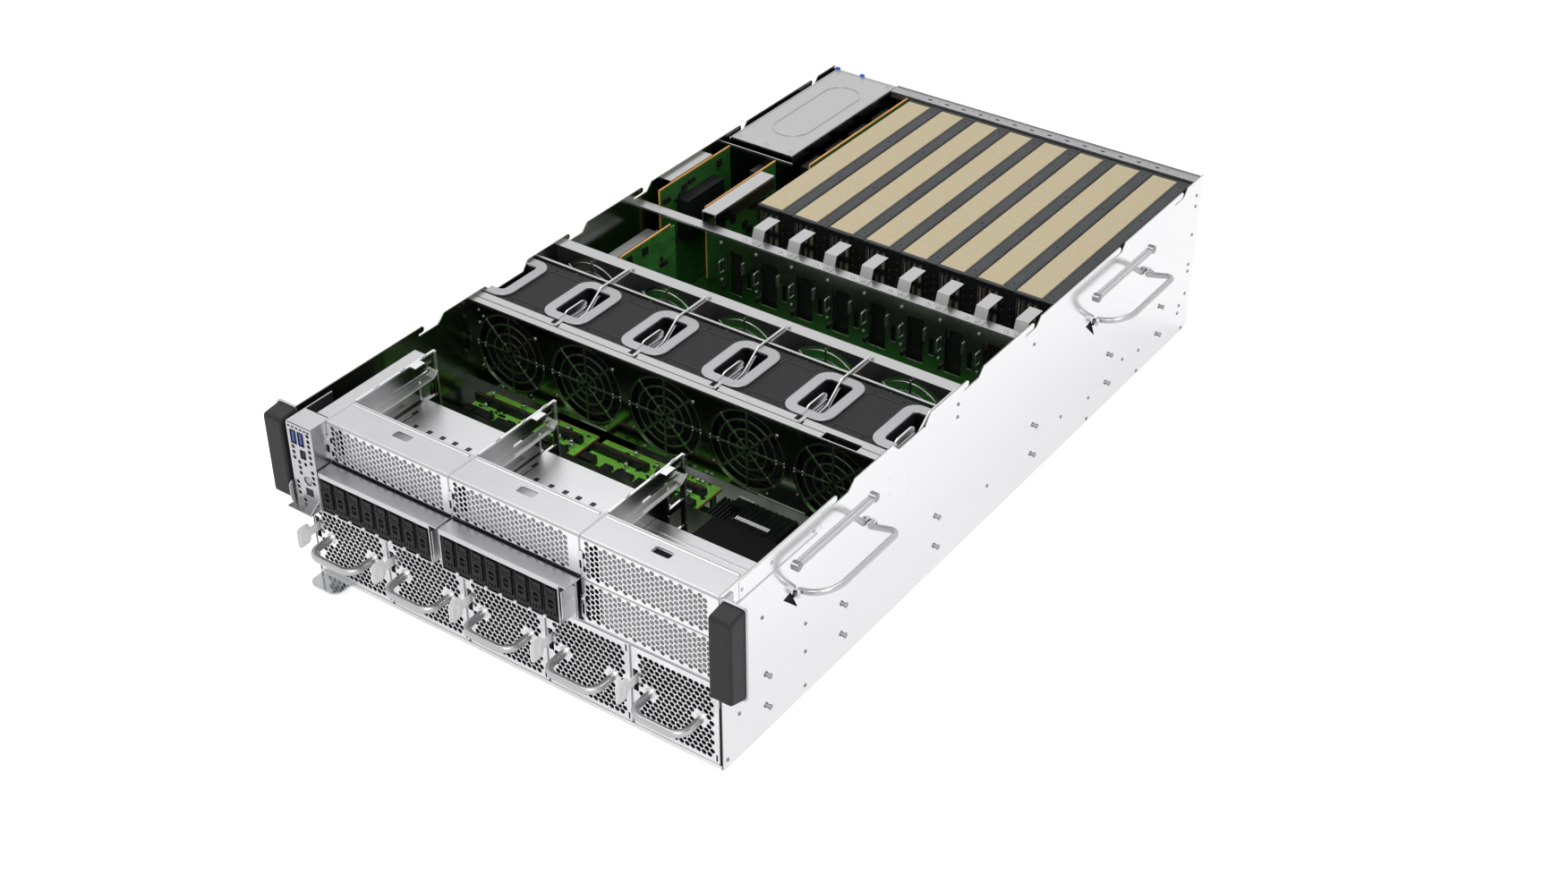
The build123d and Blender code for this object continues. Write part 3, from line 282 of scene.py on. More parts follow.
class Nodes:
    """Small helper around a material's node tree."""

    def __init__(self, name, **values):
        self.material = bpy.data.materials.new(name)
        self.material.use_nodes = True
        self.tree = self.material.node_tree
        self.shader = self.tree.nodes["Principled BSDF"]
        self.space = self.add("ShaderNodeTexCoord").outputs["Object"]
        for socket, value in values.items():
            self.shader.inputs[socket.replace("_", " ")].default_value = value

    def add(self, kind, links=None, **settings):
        node = self.tree.nodes.new(kind)
        for key, value in settings.items():
            if key in node.inputs:
                node.inputs[key].default_value = value
            else:
                setattr(node, key, value)
        for key, source in (links or {}).items():
            self.tree.links.new(source, node.inputs[key])
        return node

    def link(self, socket, source):
        self.tree.links.new(source, self.shader.inputs[socket])

    def finish(self, colour, normal, rough=None):
        """Material with its colour, relief and perhaps its gloss linked to the shader."""
        self.link("Base Color", colour)
        self.link("Normal", normal)
        if rough is not None:
            self.link("Roughness", rough)
        return self.material

    def stretch(self, scale):
        """Object coordinates scaled by three factors."""
        return self.add("ShaderNodeMapping", {"Vector": self.space}, Scale=scale).outputs[0]

    def noise(self, scale, detail=3.0, space=None):
        links = {"Vector": space or self.space}
        return self.add("ShaderNodeTexNoise", links, Scale=scale, Detail=detail).outputs[0]

    def ramp(self, source, low, high, stops=(0.35, 0.65)):
        """Blend between two colours as the source rises between two stops."""
        node = self.add("ShaderNodeValToRGB", {"Fac": source})
        for element, position, colour in zip(node.color_ramp.elements, stops, (low, high)):
            element.position = position
            element.color = (*colour, 1)
        return node.outputs[0]

    def spread(self, source, low, high, way="To"):
        """Source from 0 to 1 mapped to another range, or from another range when the way is From."""
        limits = {f"{way} Min": low, f"{way} Max": high}
        return self.add("ShaderNodeMapRange", {"Value": source}, **limits).outputs[0]

    def math(self, operation, *sources):
        """Sum, product and the like of one or two sources."""
        return self.add("ShaderNodeMath", dict(enumerate(sources)), operation=operation).outputs[0]

    def overlay(self, share, under, colour):
        """One colour laid over a source where the share is high."""
        node = self.add("ShaderNodeMix", {0: share, 6: under}, data_type="RGBA")
        node.inputs[7].default_value = (*colour, 1)
        return node.outputs[2]

    def bump(self, source, strength, depth=0.0002, after=None):
        links = {"Height": source}
        if after is not None:
            links["Normal"] = after
        return self.add("ShaderNodeBump", links, Strength=strength, Distance=depth).outputs[0]

    def edges(self, radius):
        """Normal with rounded corners, as on folded sheet."""
        return self.add("ShaderNodeBevel", Radius=radius).outputs[0]


def tint(colour, factor):
    return tuple(c * factor for c in colour)


def metal(name, colour, rough, grain=(1, 1, 1), variation=0.08, smudge=0.1, corner=0.0004, scale=180.0,
          relief=0.05):
    """Sheet or rod metal: slight tone changes, smudged gloss and a fine drawn grain."""
    nodes = Nodes(name, Metallic=1.0)
    broad = nodes.noise(7.0, 4.0)
    fine = nodes.noise(scale, 4.0, nodes.stretch(grain))
    tone = nodes.ramp(broad, tint(colour, 1 - variation), tint(colour, 1 + variation / 2))
    gloss = nodes.spread(nodes.math("MULTIPLY", broad, fine), rough - smudge / 2, rough + smudge)
    return nodes.finish(tone, nodes.bump(fine, relief, 0.0001, nodes.edges(corner)), gloss)


def light_and_shade_metal(name, spans, first, last, rough):
    """Polished sheet with painted shade and painted light: it turns from a first to a last tone where it
    leaves the unlit inside.

    Each span is an axis, two places on it in metres and whether it counts to both sides."""
    nodes = Nodes(name, Metallic=1.0)
    place = nodes.add("ShaderNodeSeparateXYZ", {"Vector": nodes.space})
    share = None
    for axis, start, end, folded in spans:
        along = place.outputs[axis]
        if folded:
            along = nodes.math("ABSOLUTE", along)
        part = nodes.spread(along, start, end, "From")
        share = part if share is None else nodes.math("MAXIMUM", share, part)
    fine = nodes.noise(120.0, 4.0, nodes.stretch((1, 0.3, 1)))
    tone = nodes.ramp(share, first, last, (0.0, 1.0))
    relief = nodes.bump(fine, 0.02, 0.0001, nodes.edges(0.0004))
    return nodes.finish(tone, relief, nodes.spread(share, *rough))


def plastic(name, colour, rough, grain=2200.0, relief=0.25, variation=0.15, corner=0.0004, gleam=0.2):
    """Moulded plastic: fine leather-like grain, slightly uneven gloss."""
    nodes = Nodes(name, Specular_IOR_Level=gleam)
    broad = nodes.noise(25.0, 3.0)
    fine = nodes.noise(grain, 2.0)
    tone = nodes.ramp(broad, tint(colour, 1 - variation), tint(colour, 1 + variation))
    gloss = nodes.spread(broad, rough - 0.08, rough + 0.08)
    return nodes.finish(tone, nodes.bump(fine, relief, 0.00006, nodes.edges(corner)), gloss)


PAD = (0.45, 0.4, 0.22)


def board(name, low, high, trace=260.0):
    """Circuit board: masked traces as fine blocks and lines, with small bright pads."""
    nodes = Nodes(name, Roughness=0.32)
    lanes = nodes.add("ShaderNodeTexBrick", {"Vector": nodes.stretch((1, 1, 1))}, Scale=trace,
                      **{"Mortar Size": 0.12, "Brick Width": 2.4, "Row Height": 0.5})
    lanes.inputs["Color1"].default_value = (*low, 1)
    lanes.inputs["Color2"].default_value = (*high, 1)
    lanes.inputs["Mortar"].default_value = (*tint(high, 1.7), 1)
    patches = nodes.noise(60.0, 2.0)
    pads = nodes.add("ShaderNodeTexVoronoi", {"Vector": nodes.space}, Scale=420.0).outputs["Distance"]
    dots = nodes.ramp(pads, (1, 1, 1), (0, 0, 0), (0.1, 0.16))
    bare = nodes.ramp(patches, (0, 0, 0), (1, 1, 1), (0.45, 0.55))
    tone = nodes.overlay(dots, nodes.overlay(bare, lanes.outputs["Color"], high), PAD)
    return nodes.finish(tone, nodes.bump(lanes.outputs["Fac"], 0.25, 0.00008))


STEEL = (0.51, 0.51, 0.52)
# Painted shade of the polished inner sheets, tinted green as a painted reflection of the boards
SHADE_GREEN_REFLECTION = (0.22, 0.28, 0.20)
# Painted light: the lit tone of the same sheets
LIT_TONE = (0.50, 0.50, 0.50)
# Where the painted shade gives way to the lit tone: just below the tops, and through the thickness of the
# side walls
LIT_TOP_SPAN = (2, 0.1675, 0.1700, False)
LIT_OUTSIDE_SPAN = (0, 0.2174, 0.2182, True)
# Side walls: painted shade with a faint painted green reflection on the inner face, white steel on the outer
# face
wall_steel = light_and_shade_metal("wall_steel", [LIT_OUTSIDE_SPAN], (0.25, 0.27, 0.24), (0.80, 0.80, 0.81), (0.2, 0.13))
sheet_steel = metal("sheet_steel", STEEL, 0.32, (0.2, 1, 1), 0.04, 0.08, relief=0.02)
face_steel = metal("face_steel", (0.86, 0.86, 0.87), 0.32, (1, 1, 0.2), 0.04, 0.08)
cage_steel = metal("cage_steel", (0.60, 0.60, 0.61), 0.34, (1, 1, 1), 0.04, 0.04, relief=0.01)
psu_steel = metal("psu_steel", (0.72, 0.72, 0.73), 0.3, (1, 1, 0.2), 0.06, 0.08)
# Bay frame: lit tone near the front, painted shade further back
bay_steel = light_and_shade_metal("bay_steel", [(1, -0.345, -0.300, False)], LIT_TONE, (0.10, 0.11, 0.09), (0.42, 0.2))
# Fan cage: painted shade with a painted green reflection below the top, lit tone on the top and on the rear
# rail
fan_steel = light_and_shade_metal("fan_steel", [LIT_TOP_SPAN, (1, -0.098, -0.094, False)], SHADE_GREEN_REFLECTION, LIT_TONE, (0.14, 0.30))
# Network cage: painted shade on the sides, lit tone on the top
nic_steel = light_and_shade_metal("nic_steel", [LIT_TOP_SPAN], (0.06, 0.06, 0.06), LIT_TONE, (0.25, 0.30))
# Middle beam: painted shade and a painted green reflection on its face, lit tone on the top
beam_steel = light_and_shade_metal("beam_steel", [(2, 0.1575, 0.1592, False)], (0.46, 0.54, 0.42), LIT_TONE, (0.20, 0.30))
# Bottom pan darkened as painted shade and reflection of the dark inside
pan_steel = metal("pan_steel", (0.16, 0.17, 0.16), 0.18, (1, 1, 0.3), 0.1, 0.06, relief=0.02)
tab_steel = metal("tab_steel", (0.50, 0.51, 0.51), 0.15, (1, 1, 0.3), 0.04, 0.05, relief=0.02)
# Front guards: dark green as painted shade and a painted reflection of the boards
guard_steel = metal("guard_steel", (0.17, 0.26, 0.14), 0.36, (1, 1, 1), 0.1, 0.05)
rear_guard_steel = metal("rear_guard_steel", (0.36, 0.37, 0.36), 0.25, (1, 1, 1), 0.1, 0.08)
stud_steel = metal("stud_steel", (0.32, 0.32, 0.32), 0.28, corner=0.0003)
keeper_grey = plastic("keeper_grey", (0.60, 0.60, 0.60), 0.5, variation=0.05)
back_grey = plastic("back_grey", (0.40, 0.40, 0.40), 0.6, variation=0.08)
bright_rod = metal("bright_rod", (0.50, 0.50, 0.50), 0.3, (1, 1, 1), 0.04, 0.08, corner=0.0003)
loop_steel = metal("loop_steel", (0.40, 0.40, 0.41), 0.42, corner=0.0005)
charcoal = plastic("charcoal_plastic", (0.021, 0.021, 0.022), 0.5, corner=0.0008, gleam=0.25)
fan_charcoal = plastic("fan_charcoal", (0.012, 0.012, 0.013), 0.5)
black_plastic = plastic("black_plastic", (0.008, 0.009, 0.009), 0.35, gleam=0.3)
drive_black = plastic("drive_black", (0.006, 0.006, 0.007), 0.36, gleam=0.2)
# Near-black finish for painted shade: blocks, sheets and linings set in holes, gaps and recesses
painted_shade_black = plastic("painted_shade_black", (0.003, 0.003, 0.003), 0.6, gleam=0.1)
latch_white = plastic("latch_white", (0.93, 0.93, 0.92), 0.4, variation=0.02, gleam=0.5)
shroud_grey = plastic("shroud_grey", (0.052, 0.054, 0.056), 0.5, 1500.0, 0.15)
usb_blue = plastic("usb_blue", (0.02, 0.07, 0.42), 0.35, gleam=0.5)
touch_blue = plastic("touch_blue", (0.05, 0.20, 0.75), 0.4, gleam=0.4)
tan_edge = plastic("tan_edge", (0.66, 0.34, 0.10), 0.45)
brown_edge = plastic("brown_edge", (0.20, 0.09, 0.03), 0.45)
gold = metal("gold", (0.42, 0.28, 0.11), 0.3)
board_green = board("board_green", (0.006, 0.040, 0.007), (0.020, 0.105, 0.018))
bright_green = board("bright_green", (0.014, 0.085, 0.011), (0.15, 0.43, 0.05), 330.0)


def fin_metal():
    """Anodised fin stack: warm aluminium with fine lines across."""
    nodes = Nodes("fin_aluminium", Metallic=0.25, Roughness=0.5)
    lines = nodes.add("ShaderNodeTexWave", {"Vector": nodes.stretch((0.02, 1, 0.02))}, Scale=170.0,
                      Distortion=0.4, bands_direction="Y").outputs["Fac"]
    speck = nodes.noise(900.0, 3.0, nodes.stretch((0.3, 1, 1)))
    both = nodes.math("MULTIPLY", lines, speck)
    tone = nodes.ramp(both, (0.50, 0.42, 0.27), (0.60, 0.52, 0.35), (0.1, 0.5))
    return nodes.finish(tone, nodes.bump(both, 0.4, 0.0002))


fin_aluminium = fin_metal()

NODE_FINISHES = {
    "bottom_pan": pan_steel, "left_wall": wall_steel, "right_wall": wall_steel, "rail_studs": stud_steel,
    "rack_ears": sheet_steel, "ear_handles": charcoal, "control_module": sheet_steel,
    "power_button": loop_steel, "service_tab": tab_steel, "bay_frame": bay_steel,
    "bay_blanks": sheet_steel, "drive_cages": cage_steel, "fan_cage": fan_steel,
    "middle_beam": beam_steel, "gpu_fin_stacks": fin_aluminium, "gpu_shrouds": shroud_grey,
    "circuit_boards": board_green, "board_parts": black_plastic, "nic_cage": nic_steel,
    "rear_panel": loop_steel, "drive": drive_black, "psu": psu_steel, "psu_latch": latch_white,
    "fan": fan_charcoal, "rotor": black_plastic, "carry_handle_front": bright_rod,
    "carry_handle_rear": bright_rod}
for name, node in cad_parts.items():
    finish = NODE_FINISHES.get(name) or NODE_FINISHES[name.rsplit("_", 1)[0]]
    node.data.materials.clear()
    node.data.materials.append(finish)


# Camera and light

camera = bpy.data.objects.new("camera", bpy.data.cameras.new("camera"))
scene.collection.objects.link(camera)
camera.location = (0.96165, -1.3802, 1.1745)
camera.rotation_euler = (radians(55.1), 0, radians(35.0))
camera.data.lens = 49.55
camera.data.sensor_width = 36.0
scene.camera = camera

scene.view_settings.view_transform = "Standard"
world = bpy.data.worlds.new("studio")
scene.world = world
world.use_nodes = True
sky = world.node_tree
background = sky.nodes["Background"]
background.inputs["Color"].default_value = (1, 1, 1, 1)
rays = sky.nodes.new("ShaderNodeLightPath")
seen = rays.outputs["Is Camera Ray"]
for kind in ("Is Glossy Ray", "Is Transmission Ray"):
    either = sky.nodes.new("ShaderNodeMath")
    either.operation = "MAXIMUM"
    sky.links.new(seen, either.inputs[0])
    sky.links.new(rays.outputs[kind], either.inputs[1])
    seen = either.outputs[0]
level = sky.nodes.new("ShaderNodeMapRange")
sky.links.new(seen, level.inputs["Value"])
level.inputs["To Min"].default_value = 0.7
level.inputs["To Max"].default_value = 1.0
sky.links.new(level.outputs[0], background.inputs["Strength"])


def lamp(name, place, size, power, aim=(0, 0, 0.05)):
    """Soft square light aimed at the object."""
    data = bpy.data.lights.new(name, "AREA")
    data.size = size
    data.energy = power
    light = bpy.data.objects.new(name, data)
    light.location = place
    light.rotation_euler = (Vector(aim) - Vector(place)).to_track_quat("-Z", "Y").to_euler()
    scene.collection.objects.link(light)


lamp("key", (1.6, -2.2, 3.0), 1.6, 35)
lamp("top", (-1.2, 0.6, 3.2), 2.2, 30)

FLOOR = 12.0
floor_mesh = bpy.data.meshes.new("floor")
corners = [(a, b, 0) for a, b in rectangle((-FLOOR, FLOOR), (-FLOOR, FLOOR))]
floor_mesh.from_pydata(corners, [], [(0, 1, 2, 3)])
floor_nodes = Nodes("floor", Roughness=0.9, Emission_Color=(1, 1, 1, 1))
pale = floor_nodes.noise(3.0, 2.0)
floor_nodes.link("Base Color", floor_nodes.ramp(pale, (0.93, 0.93, 0.93), (0.95, 0.95, 0.95)))
path = floor_nodes.add("ShaderNodeLightPath")
direct = floor_nodes.spread(path.outputs["Is Camera Ray"], 0.0, 0.45)
mirrored = floor_nodes.spread(path.outputs["Is Glossy Ray"], 0.0, 0.2)
glow = floor_nodes.math("ADD", direct, mirrored)
floor_nodes.link("Emission Strength", glow)
floor_mesh.materials.append(floor_nodes.material)
floor = bpy.data.objects.new("floor", floor_mesh)
floor.location = (0, 0, -0.0005)
scene.collection.objects.link(floor)


# Power supplies: perforated face, case, painted shade inside, bail on two bosses

PSU_COUNT = 5
PSU_PITCH = 86.6
PSU_W = 84.8
PSU_FIRST = -216.4
PSU_TOP = 85.0
PSU_BOTTOM = 3.6
PSU_BACK = aft(165)
BAIL_X = (17.4, 67.4)
BAIL_Z = 43.5
BAIL_END = FRONT - 26.6
HOLE_R = 2.2
PSU_HOLE_R = 2.42
LATCH_Z = (40.5, 61.0)


def honeycomb(a, b, pitch, row, radius, bare=(), upright=False, sides=12):
    """Holes in staggered rows within two pairs of limits, apart from bare (a, b, reach_a, reach_b) places."""
    if upright:
        return [[(p, q) for q, p in hole]
                for hole in honeycomb(b, a, pitch, row, radius, [(q, p, v, u) for p, q, u, v in bare],
                                      False, sides)]
    holes = []
    rows = int((b[1] - b[0]) / row) + 1
    for line in range(rows):
        level = b[0] + line * row
        start = a[0] + (pitch / 2 if line % 2 else 0)
        for k in range(int((a[1] - start) / pitch + 1e-6) + 1):
            centre = start + k * pitch
            if any(abs(centre - p) < u and abs(level - q) < v for p, q, u, v in bare):
                continue
            holes.append(circle(centre, level, radius, sides))
    return holes


face = Shape()
bare = [(x, BAIL_Z, 6.6, 5.4) for x in BAIL_X]
holes = honeycomb((8.6, 78.9), (9.9, 77.2), 5.5, 4.8, PSU_HOLE_R, bare)
slits = [rounded((80.9, 82.5), (z, z + 7), 0.7) for z in (5.6, 76)]
pocket = rounded((0.9, 6.0), (LATCH_Z[0] - 0.8, LATCH_Z[1] + 0.8), 0.6)
face.plate("y", rounded((0.3, PSU_W - 0.3), (PSU_BOTTOM + 0.2, PSU_TOP - 0.2), 1.0), holes + slits + [pocket],
           FRONT, FRONT + 1.0, 0.15)
for x in BAIL_X:
    face.lathe("y", x, BAIL_Z, FRONT, [(3.0, -1.4), (4.4, -1.4), (5.0, -0.8), (5.0, 0)], 20)
face.screw("y", 82.2, 44, FRONT, 1.5, -0.8)
face.screw("y", 6.3, 80.6, FRONT, 1.3, -0.7)
face.screw("y", 6.3, 7.9, FRONT, 1.3, -0.7)
face_mesh = face.mesh("psu_face")

case = Shape()
case.plate("x", rectangle((FRONT + 0.9, PSU_BACK), (PSU_BOTTOM, PSU_TOP)),
           [rectangle(span(2, 14.4), (LATCH_Z[0] - 0.8, LATCH_Z[1] + 0.8))], 0, 0.8)
case.box((PSU_W - 0.8, PSU_W), (FRONT + 0.9, PSU_BACK), (PSU_BOTTOM, PSU_TOP))
vents = [rounded((12 + 11 * k, 19 + 11 * k), span(120, 150), 1.5) for k in range(6)]
case.plate("z", rectangle((0.8, PSU_W - 0.8), (FRONT + 0.9, PSU_BACK)), vents, PSU_TOP - 0.8, PSU_TOP)
case.box((0.8, PSU_W - 0.8), (FRONT + 0.9, PSU_BACK), (PSU_BOTTOM, PSU_BOTTOM + 0.8))
grille = [circle(42.4, 46, 3.0, 16)]
for ring, count in ((9, 8), (15, 14), (21, 20), (27, 26)):
    grille += [circle(42.4 + ring * cos(2 * pi * k / count), 46 + ring * sin(2 * pi * k / count), 2.2, 10)
               for k in range(count)]
rear = rectangle((0.8, PSU_W - 0.8), (PSU_BOTTOM + 0.8, PSU_TOP - 0.8))
case.plate("y", rear, grille, PSU_BACK - 0.8, PSU_BACK)
for x in (6, PSU_W - 6):
    for depth in (30, 90, 150):
        case.screw("z", x, aft(depth), PSU_TOP, 1.6, 0.5)
case_mesh = case.mesh("psu_case")

# Black block filling the case: painted shade seen through the holes of the face
core = Shape()
core.box((8, PSU_W - 1), (aft(9), PSU_BACK - 6), (PSU_BOTTOM + 1, PSU_TOP - 1))
core.box((1, 8), (aft(20), PSU_BACK - 6), (PSU_BOTTOM + 1, PSU_TOP - 1))
core.box((20, 66), (PSU_BACK - 2, PSU_BACK - 0.9), (8, 16))
core_mesh = core.mesh("psu_core")

bail = Shape()
bail.tube(soften([(BAIL_X[0], FRONT + 0.5, BAIL_Z), (BAIL_X[0], BAIL_END, BAIL_Z),
                  (BAIL_X[1], BAIL_END, BAIL_Z), (BAIL_X[1], FRONT + 0.5, BAIL_Z)], (12, 12), 8), 3.4, 5)
bail_mesh = bail.mesh("psu_bail", 60)

# Thumb latch: plate with a narrow neck, a rounded free end and a raised ring
LATCH_X = 2.9
LATCH_PROUD = 24.0
latch = Shape()
low, high = LATCH_Z
free = rounded((FRONT - LATCH_PROUD, FRONT - 9.5), (low, high), 4.0, 6)
latch.prism("x", free, LATCH_X - 0.6, LATCH_X + 0.6)
latch.prism("x", rectangle(span(-12, 6), (low + 6, high - 6)), LATCH_X - 0.58, LATCH_X + 0.58)
outer = rounded(span(-21.6, -13.4), (low + 3.4, high - 3.4), 3, 5)
inner = rounded(span(-20.8, -14.2), (low + 4.2, high - 4.2), 2.4, 5)
latch.plate("x", outer, [inner], LATCH_X + 0.6, LATCH_X + 1.1, 0.1)
latch.tube([(LATCH_X, FRONT + 6, low + 1), (LATCH_X, FRONT + 6, high - 1)], 1.1, 3)
latch_mesh = latch.mesh("psu_latch_plate")

for number in range(1, PSU_COUNT + 1):
    at = (PSU_FIRST + PSU_PITCH * (number - 1), 0, 0)
    body = f"psu_{number}"
    lever = f"psu_latch_{number}"
    put(f"psu_latch_plate_{number}", latch_mesh, lever, latch_white, at=at, replaces=[lever])
    put(f"psu_face_{number}", face_mesh, body, face_steel, "psu_steel", at=at, replaces=[body])
    put(f"psu_case_{number}", case_mesh, body, psu_steel, at=at)
    put(f"psu_core_{number}", core_mesh, body, painted_shade_black, at=at)
    put(f"psu_bail_{number}", bail_mesh, body, bright_rod, at=at)


# Bay blanks: bent covers with a slot, perforated faces with spring clips at their left edges

# Each bay's left and right limits, the middle of its cover slot, and the low edges of its face
# and of the plate behind
BAYS = ((-184.0, -50.7, -117.0, 133.2, 134.5), (-49.1, 83.3, 15.6, 133.2, 134.5),
        (84.9, 216.8, 149.6, 130.6, 89))
COVER_Z = 171.0
FOLD = 2.0
GRILLE_TOP = 166.8
blanks, grilles, behind, shade_gaps = shapes(4)
for left, right, slot_x, low, back_low in BAYS:
    hole = rounded((slot_x - 8.5, slot_x + 8.5), span(16, 24), 1.5)
    blanks.plate("z", rectangle((left, right), (FRONT + FOLD, aft(34.4))), [hole], COVER_Z, COVER_Z + 1, 0.2)
    grilles.plate("y", rectangle((left, right), (low, COVER_Z + 1 - FOLD)),
                  honeycomb((left + 6.5, right - 9), (135.2, GRILLE_TOP), 5.2, 4.5, HOLE_R, upright=True),
                  FRONT, FRONT + 1, 0.15)
    bend = [(FRONT + FOLD - r * sin(t), COVER_Z + 1 - FOLD + r * cos(t))
            for r, turns in ((FOLD, range(5)), (FOLD - 1, range(4, -1, -1)))
            for t in (turn * pi / 8 for turn in turns)]
    blanks.prism("x", bend, left, right)
    # Stiffening bead along the rear edge
    bead = side_view((28.6, COVER_Z + 1), (29.6, COVER_Z + 1.7), (31.4, COVER_Z + 1.7), (32.4, COVER_Z + 1))
    blanks.prism("x", bead, left + 3, right - 3)
    behind.box((left + 16, right - 2), span(2.2, 3.0), (back_low, 169.0))
    # Black sheet behind each face: painted shade seen through the holes beside the grey back plate
    shade_gaps.box((left + 2, right - 2), span(8, 10), (back_low, 169.5))
    if low > 133:
        # Over a drive cage, black sheets as painted shade in the gaps
        shade_gaps.box((left + 0.5, right - 0.5), span(1.2, 2.0), (131.2, 134.2))
        shade_gaps.box((left + 0.5, right - 0.5), span(-1.2, 0), (130.9, 131.1))
# The last bay has a second face and a deck below the first
grilles.plate("y", rectangle((left, right), (87.4, 128.9)),
              honeycomb((left + 4.6, right - 9), (92.0, 126.4), 5.2, 4.5, HOLE_R, upright=True),
              FRONT, FRONT + 1, 0.15)
DECK_END = 93.5
blanks.box((left, right), (FRONT, aft(DECK_END)), (129.2, 130.2))
blanks.prism("x", side_view((80, 130.2), (81, 130.8), (82, 130.2)), left, right)
blanks.box((left, right), span(DECK_END - 1, DECK_END), (126, 129.2))
fixed("bay_blank_sheets", blanks, sheet_steel, replaces=["bay_blanks"])
fixed("bay_grilles", grilles, face_steel)

# Painted shade: black sheets in the gaps beside the last supply, on the shelf and in the cover slot
shade_gaps.box((215.2, 216.4), span(-0.1, 0.6), (4.5, 62))
shade_gaps.box((86, 216.4), span(60, 167.6), (87.0, 87.4))
shade_gaps.box((141.5, 157.7), span(16.4, 23.6), (169.6, 170.0))
fixed("blank_backs", behind, back_grey)
fixed("blank_shade", shade_gaps, painted_shade_black)

CLIPS = ((-184.2, 137, 158), (-49.4, 137, 158), (84.4, 137, 158), (84.4, 92, 115))
clips, slots = shapes(2)
for x, low, high in CLIPS:
    eye = rounded((x - 0.4, x + 1.6), (low + 4, high - 9), 0.8)
    clips.plate("y", rounded((x - 1.6, x + 3.0), (low, high), 1.4), [eye], FRONT - 1.2, FRONT - 0.2, 0.2)
    clips.screw("y", x + 0.6, high - 4, FRONT - 1.2, 1.3, -0.7)
    # Black slots and the gap behind each clip: painted shade
    for level in (low + 1, high - 7):
        slots.prism("y", rounded((x + 2.6, x + 4.8), (level, level + 5), 0.8), FRONT - 0.25, FRONT + 0.2)
    slots.box((x - 0.3, x + 1.5), span(-1.15, -0.25), (low + 4.2, high - 9.4))
fixed("blank_clips", clips, psu_steel)
fixed("clip_slots", slots, painted_shade_black)


# Drive bezels, and the tabs, lips and latch strips of their cages, with painted shade under the deck holes

CAGE_STARTS = (-182.7, -48.4)
DRIVE_PITCH = 15.3
CAGE_FRONT = FRONT - 17.5
bezel = Shape()
bezel.plate("y", rounded((-5.6, 5.6), (115.4, 123.2), 0.8), [rounded((-3.6, 3.6), (117.4, 121.2), 0.8)],
            CAGE_FRONT - 0.5, CAGE_FRONT + 0.3, 0.15)
bezel.plate("y", rounded((-5.4, 5.4), (95.8, 114.8), 1.6),
            [rounded((-2.6, 2.6), (103.4, 112.8), 2.5), rectangle((-3.8, -2.6), (97.4, 99.8)),
             rectangle((-0.6, 0.6), (96.8, 100.2)), rectangle((2.6, 3.8), (97.4, 99.8))],
            CAGE_FRONT - 0.4, CAGE_FRONT + 0.3, 0.15)
bezel.box((-2.0, 2.0), (CAGE_FRONT - 0.2, CAGE_FRONT + 0.4), (107.0, 109.0))
bezel_mesh = bezel.mesh("drive_bezel")
for number in range(1, 17):
    start = CAGE_STARTS[(number - 1) // 8] + ((number - 1) % 8) * DRIVE_PITCH
    at = (start + DRIVE_PITCH / 2, 0, 0)
    put(f"drive_bezel_{number}", bezel_mesh, f"drive_{number}", fan_charcoal, at=at)
tabs, lips, strips = shapes(3)
for start in CAGE_STARTS:
    end = start + 8 * DRIVE_PITCH
    for cell in range(1, 8):
        x = start + cell * DRIVE_PITCH
        tabs.box((x - 1.2, x + 1.2), (CAGE_FRONT - 0.6, CAGE_FRONT + 1.0), (90.6, 93.0))
    # Rolled lip over the drives and the step in the cage top
    lips.tube([(start - 0.8, CAGE_FRONT + 0.6, 129.7), (end + 0.8, CAGE_FRONT + 0.6, 129.7)], 0.75, 3)
    lips.prism("x", side_view((61, 130.3), (62, 130.9), (63, 130.3)), start, end + 8)
    lips.box((end + 1.2, end + 8.6), span(-7.2, -6.2), (94, 126))
    lips.box((end + 2.4, end + 3.2), span(-17, -6.4), (96, 124))
    lips.screw("y", end + 5.4, 112, aft(-7.2), 1.6, -0.8)
    holes = [rounded((start + a - 2.4, start + a + 2.4), span(75.6, 80.4), 0.5)
             for a in (20.7, 36.7, 51.7, 65.7, 80.7)]
    lips.plate("z", rectangle((start + 0.5, end + 7.5), span(37, 114)), holes, 131.1, 131.5, 0.1)
    # Black sheet under the deck holes: painted shade seen through them
    strips.box((start + 15, start + 90), span(73, 83), (130.4, 131.05))
    strips.box((start + 5.5, start + 8.5), span(62, 96), (131.5, 131.9))
    lips.box((start + 6.4, start + 7.6), span(70, 88), (131.9, 132.5))
fixed("cage_tabs", tabs, latch_white)
lip = Shape()
lip.box((-216.4, 216.4), span(-0.3, 0.3), (0.3, 3.5))
fixed("front_lip", lip, face_steel)
fixed("cage_trim", lips, cage_steel)
fixed("cage_latch_strips_and_hole_shade", strips, black_plastic)


# Control module: perforated panel, painted shade inside, sockets with tongues and rims

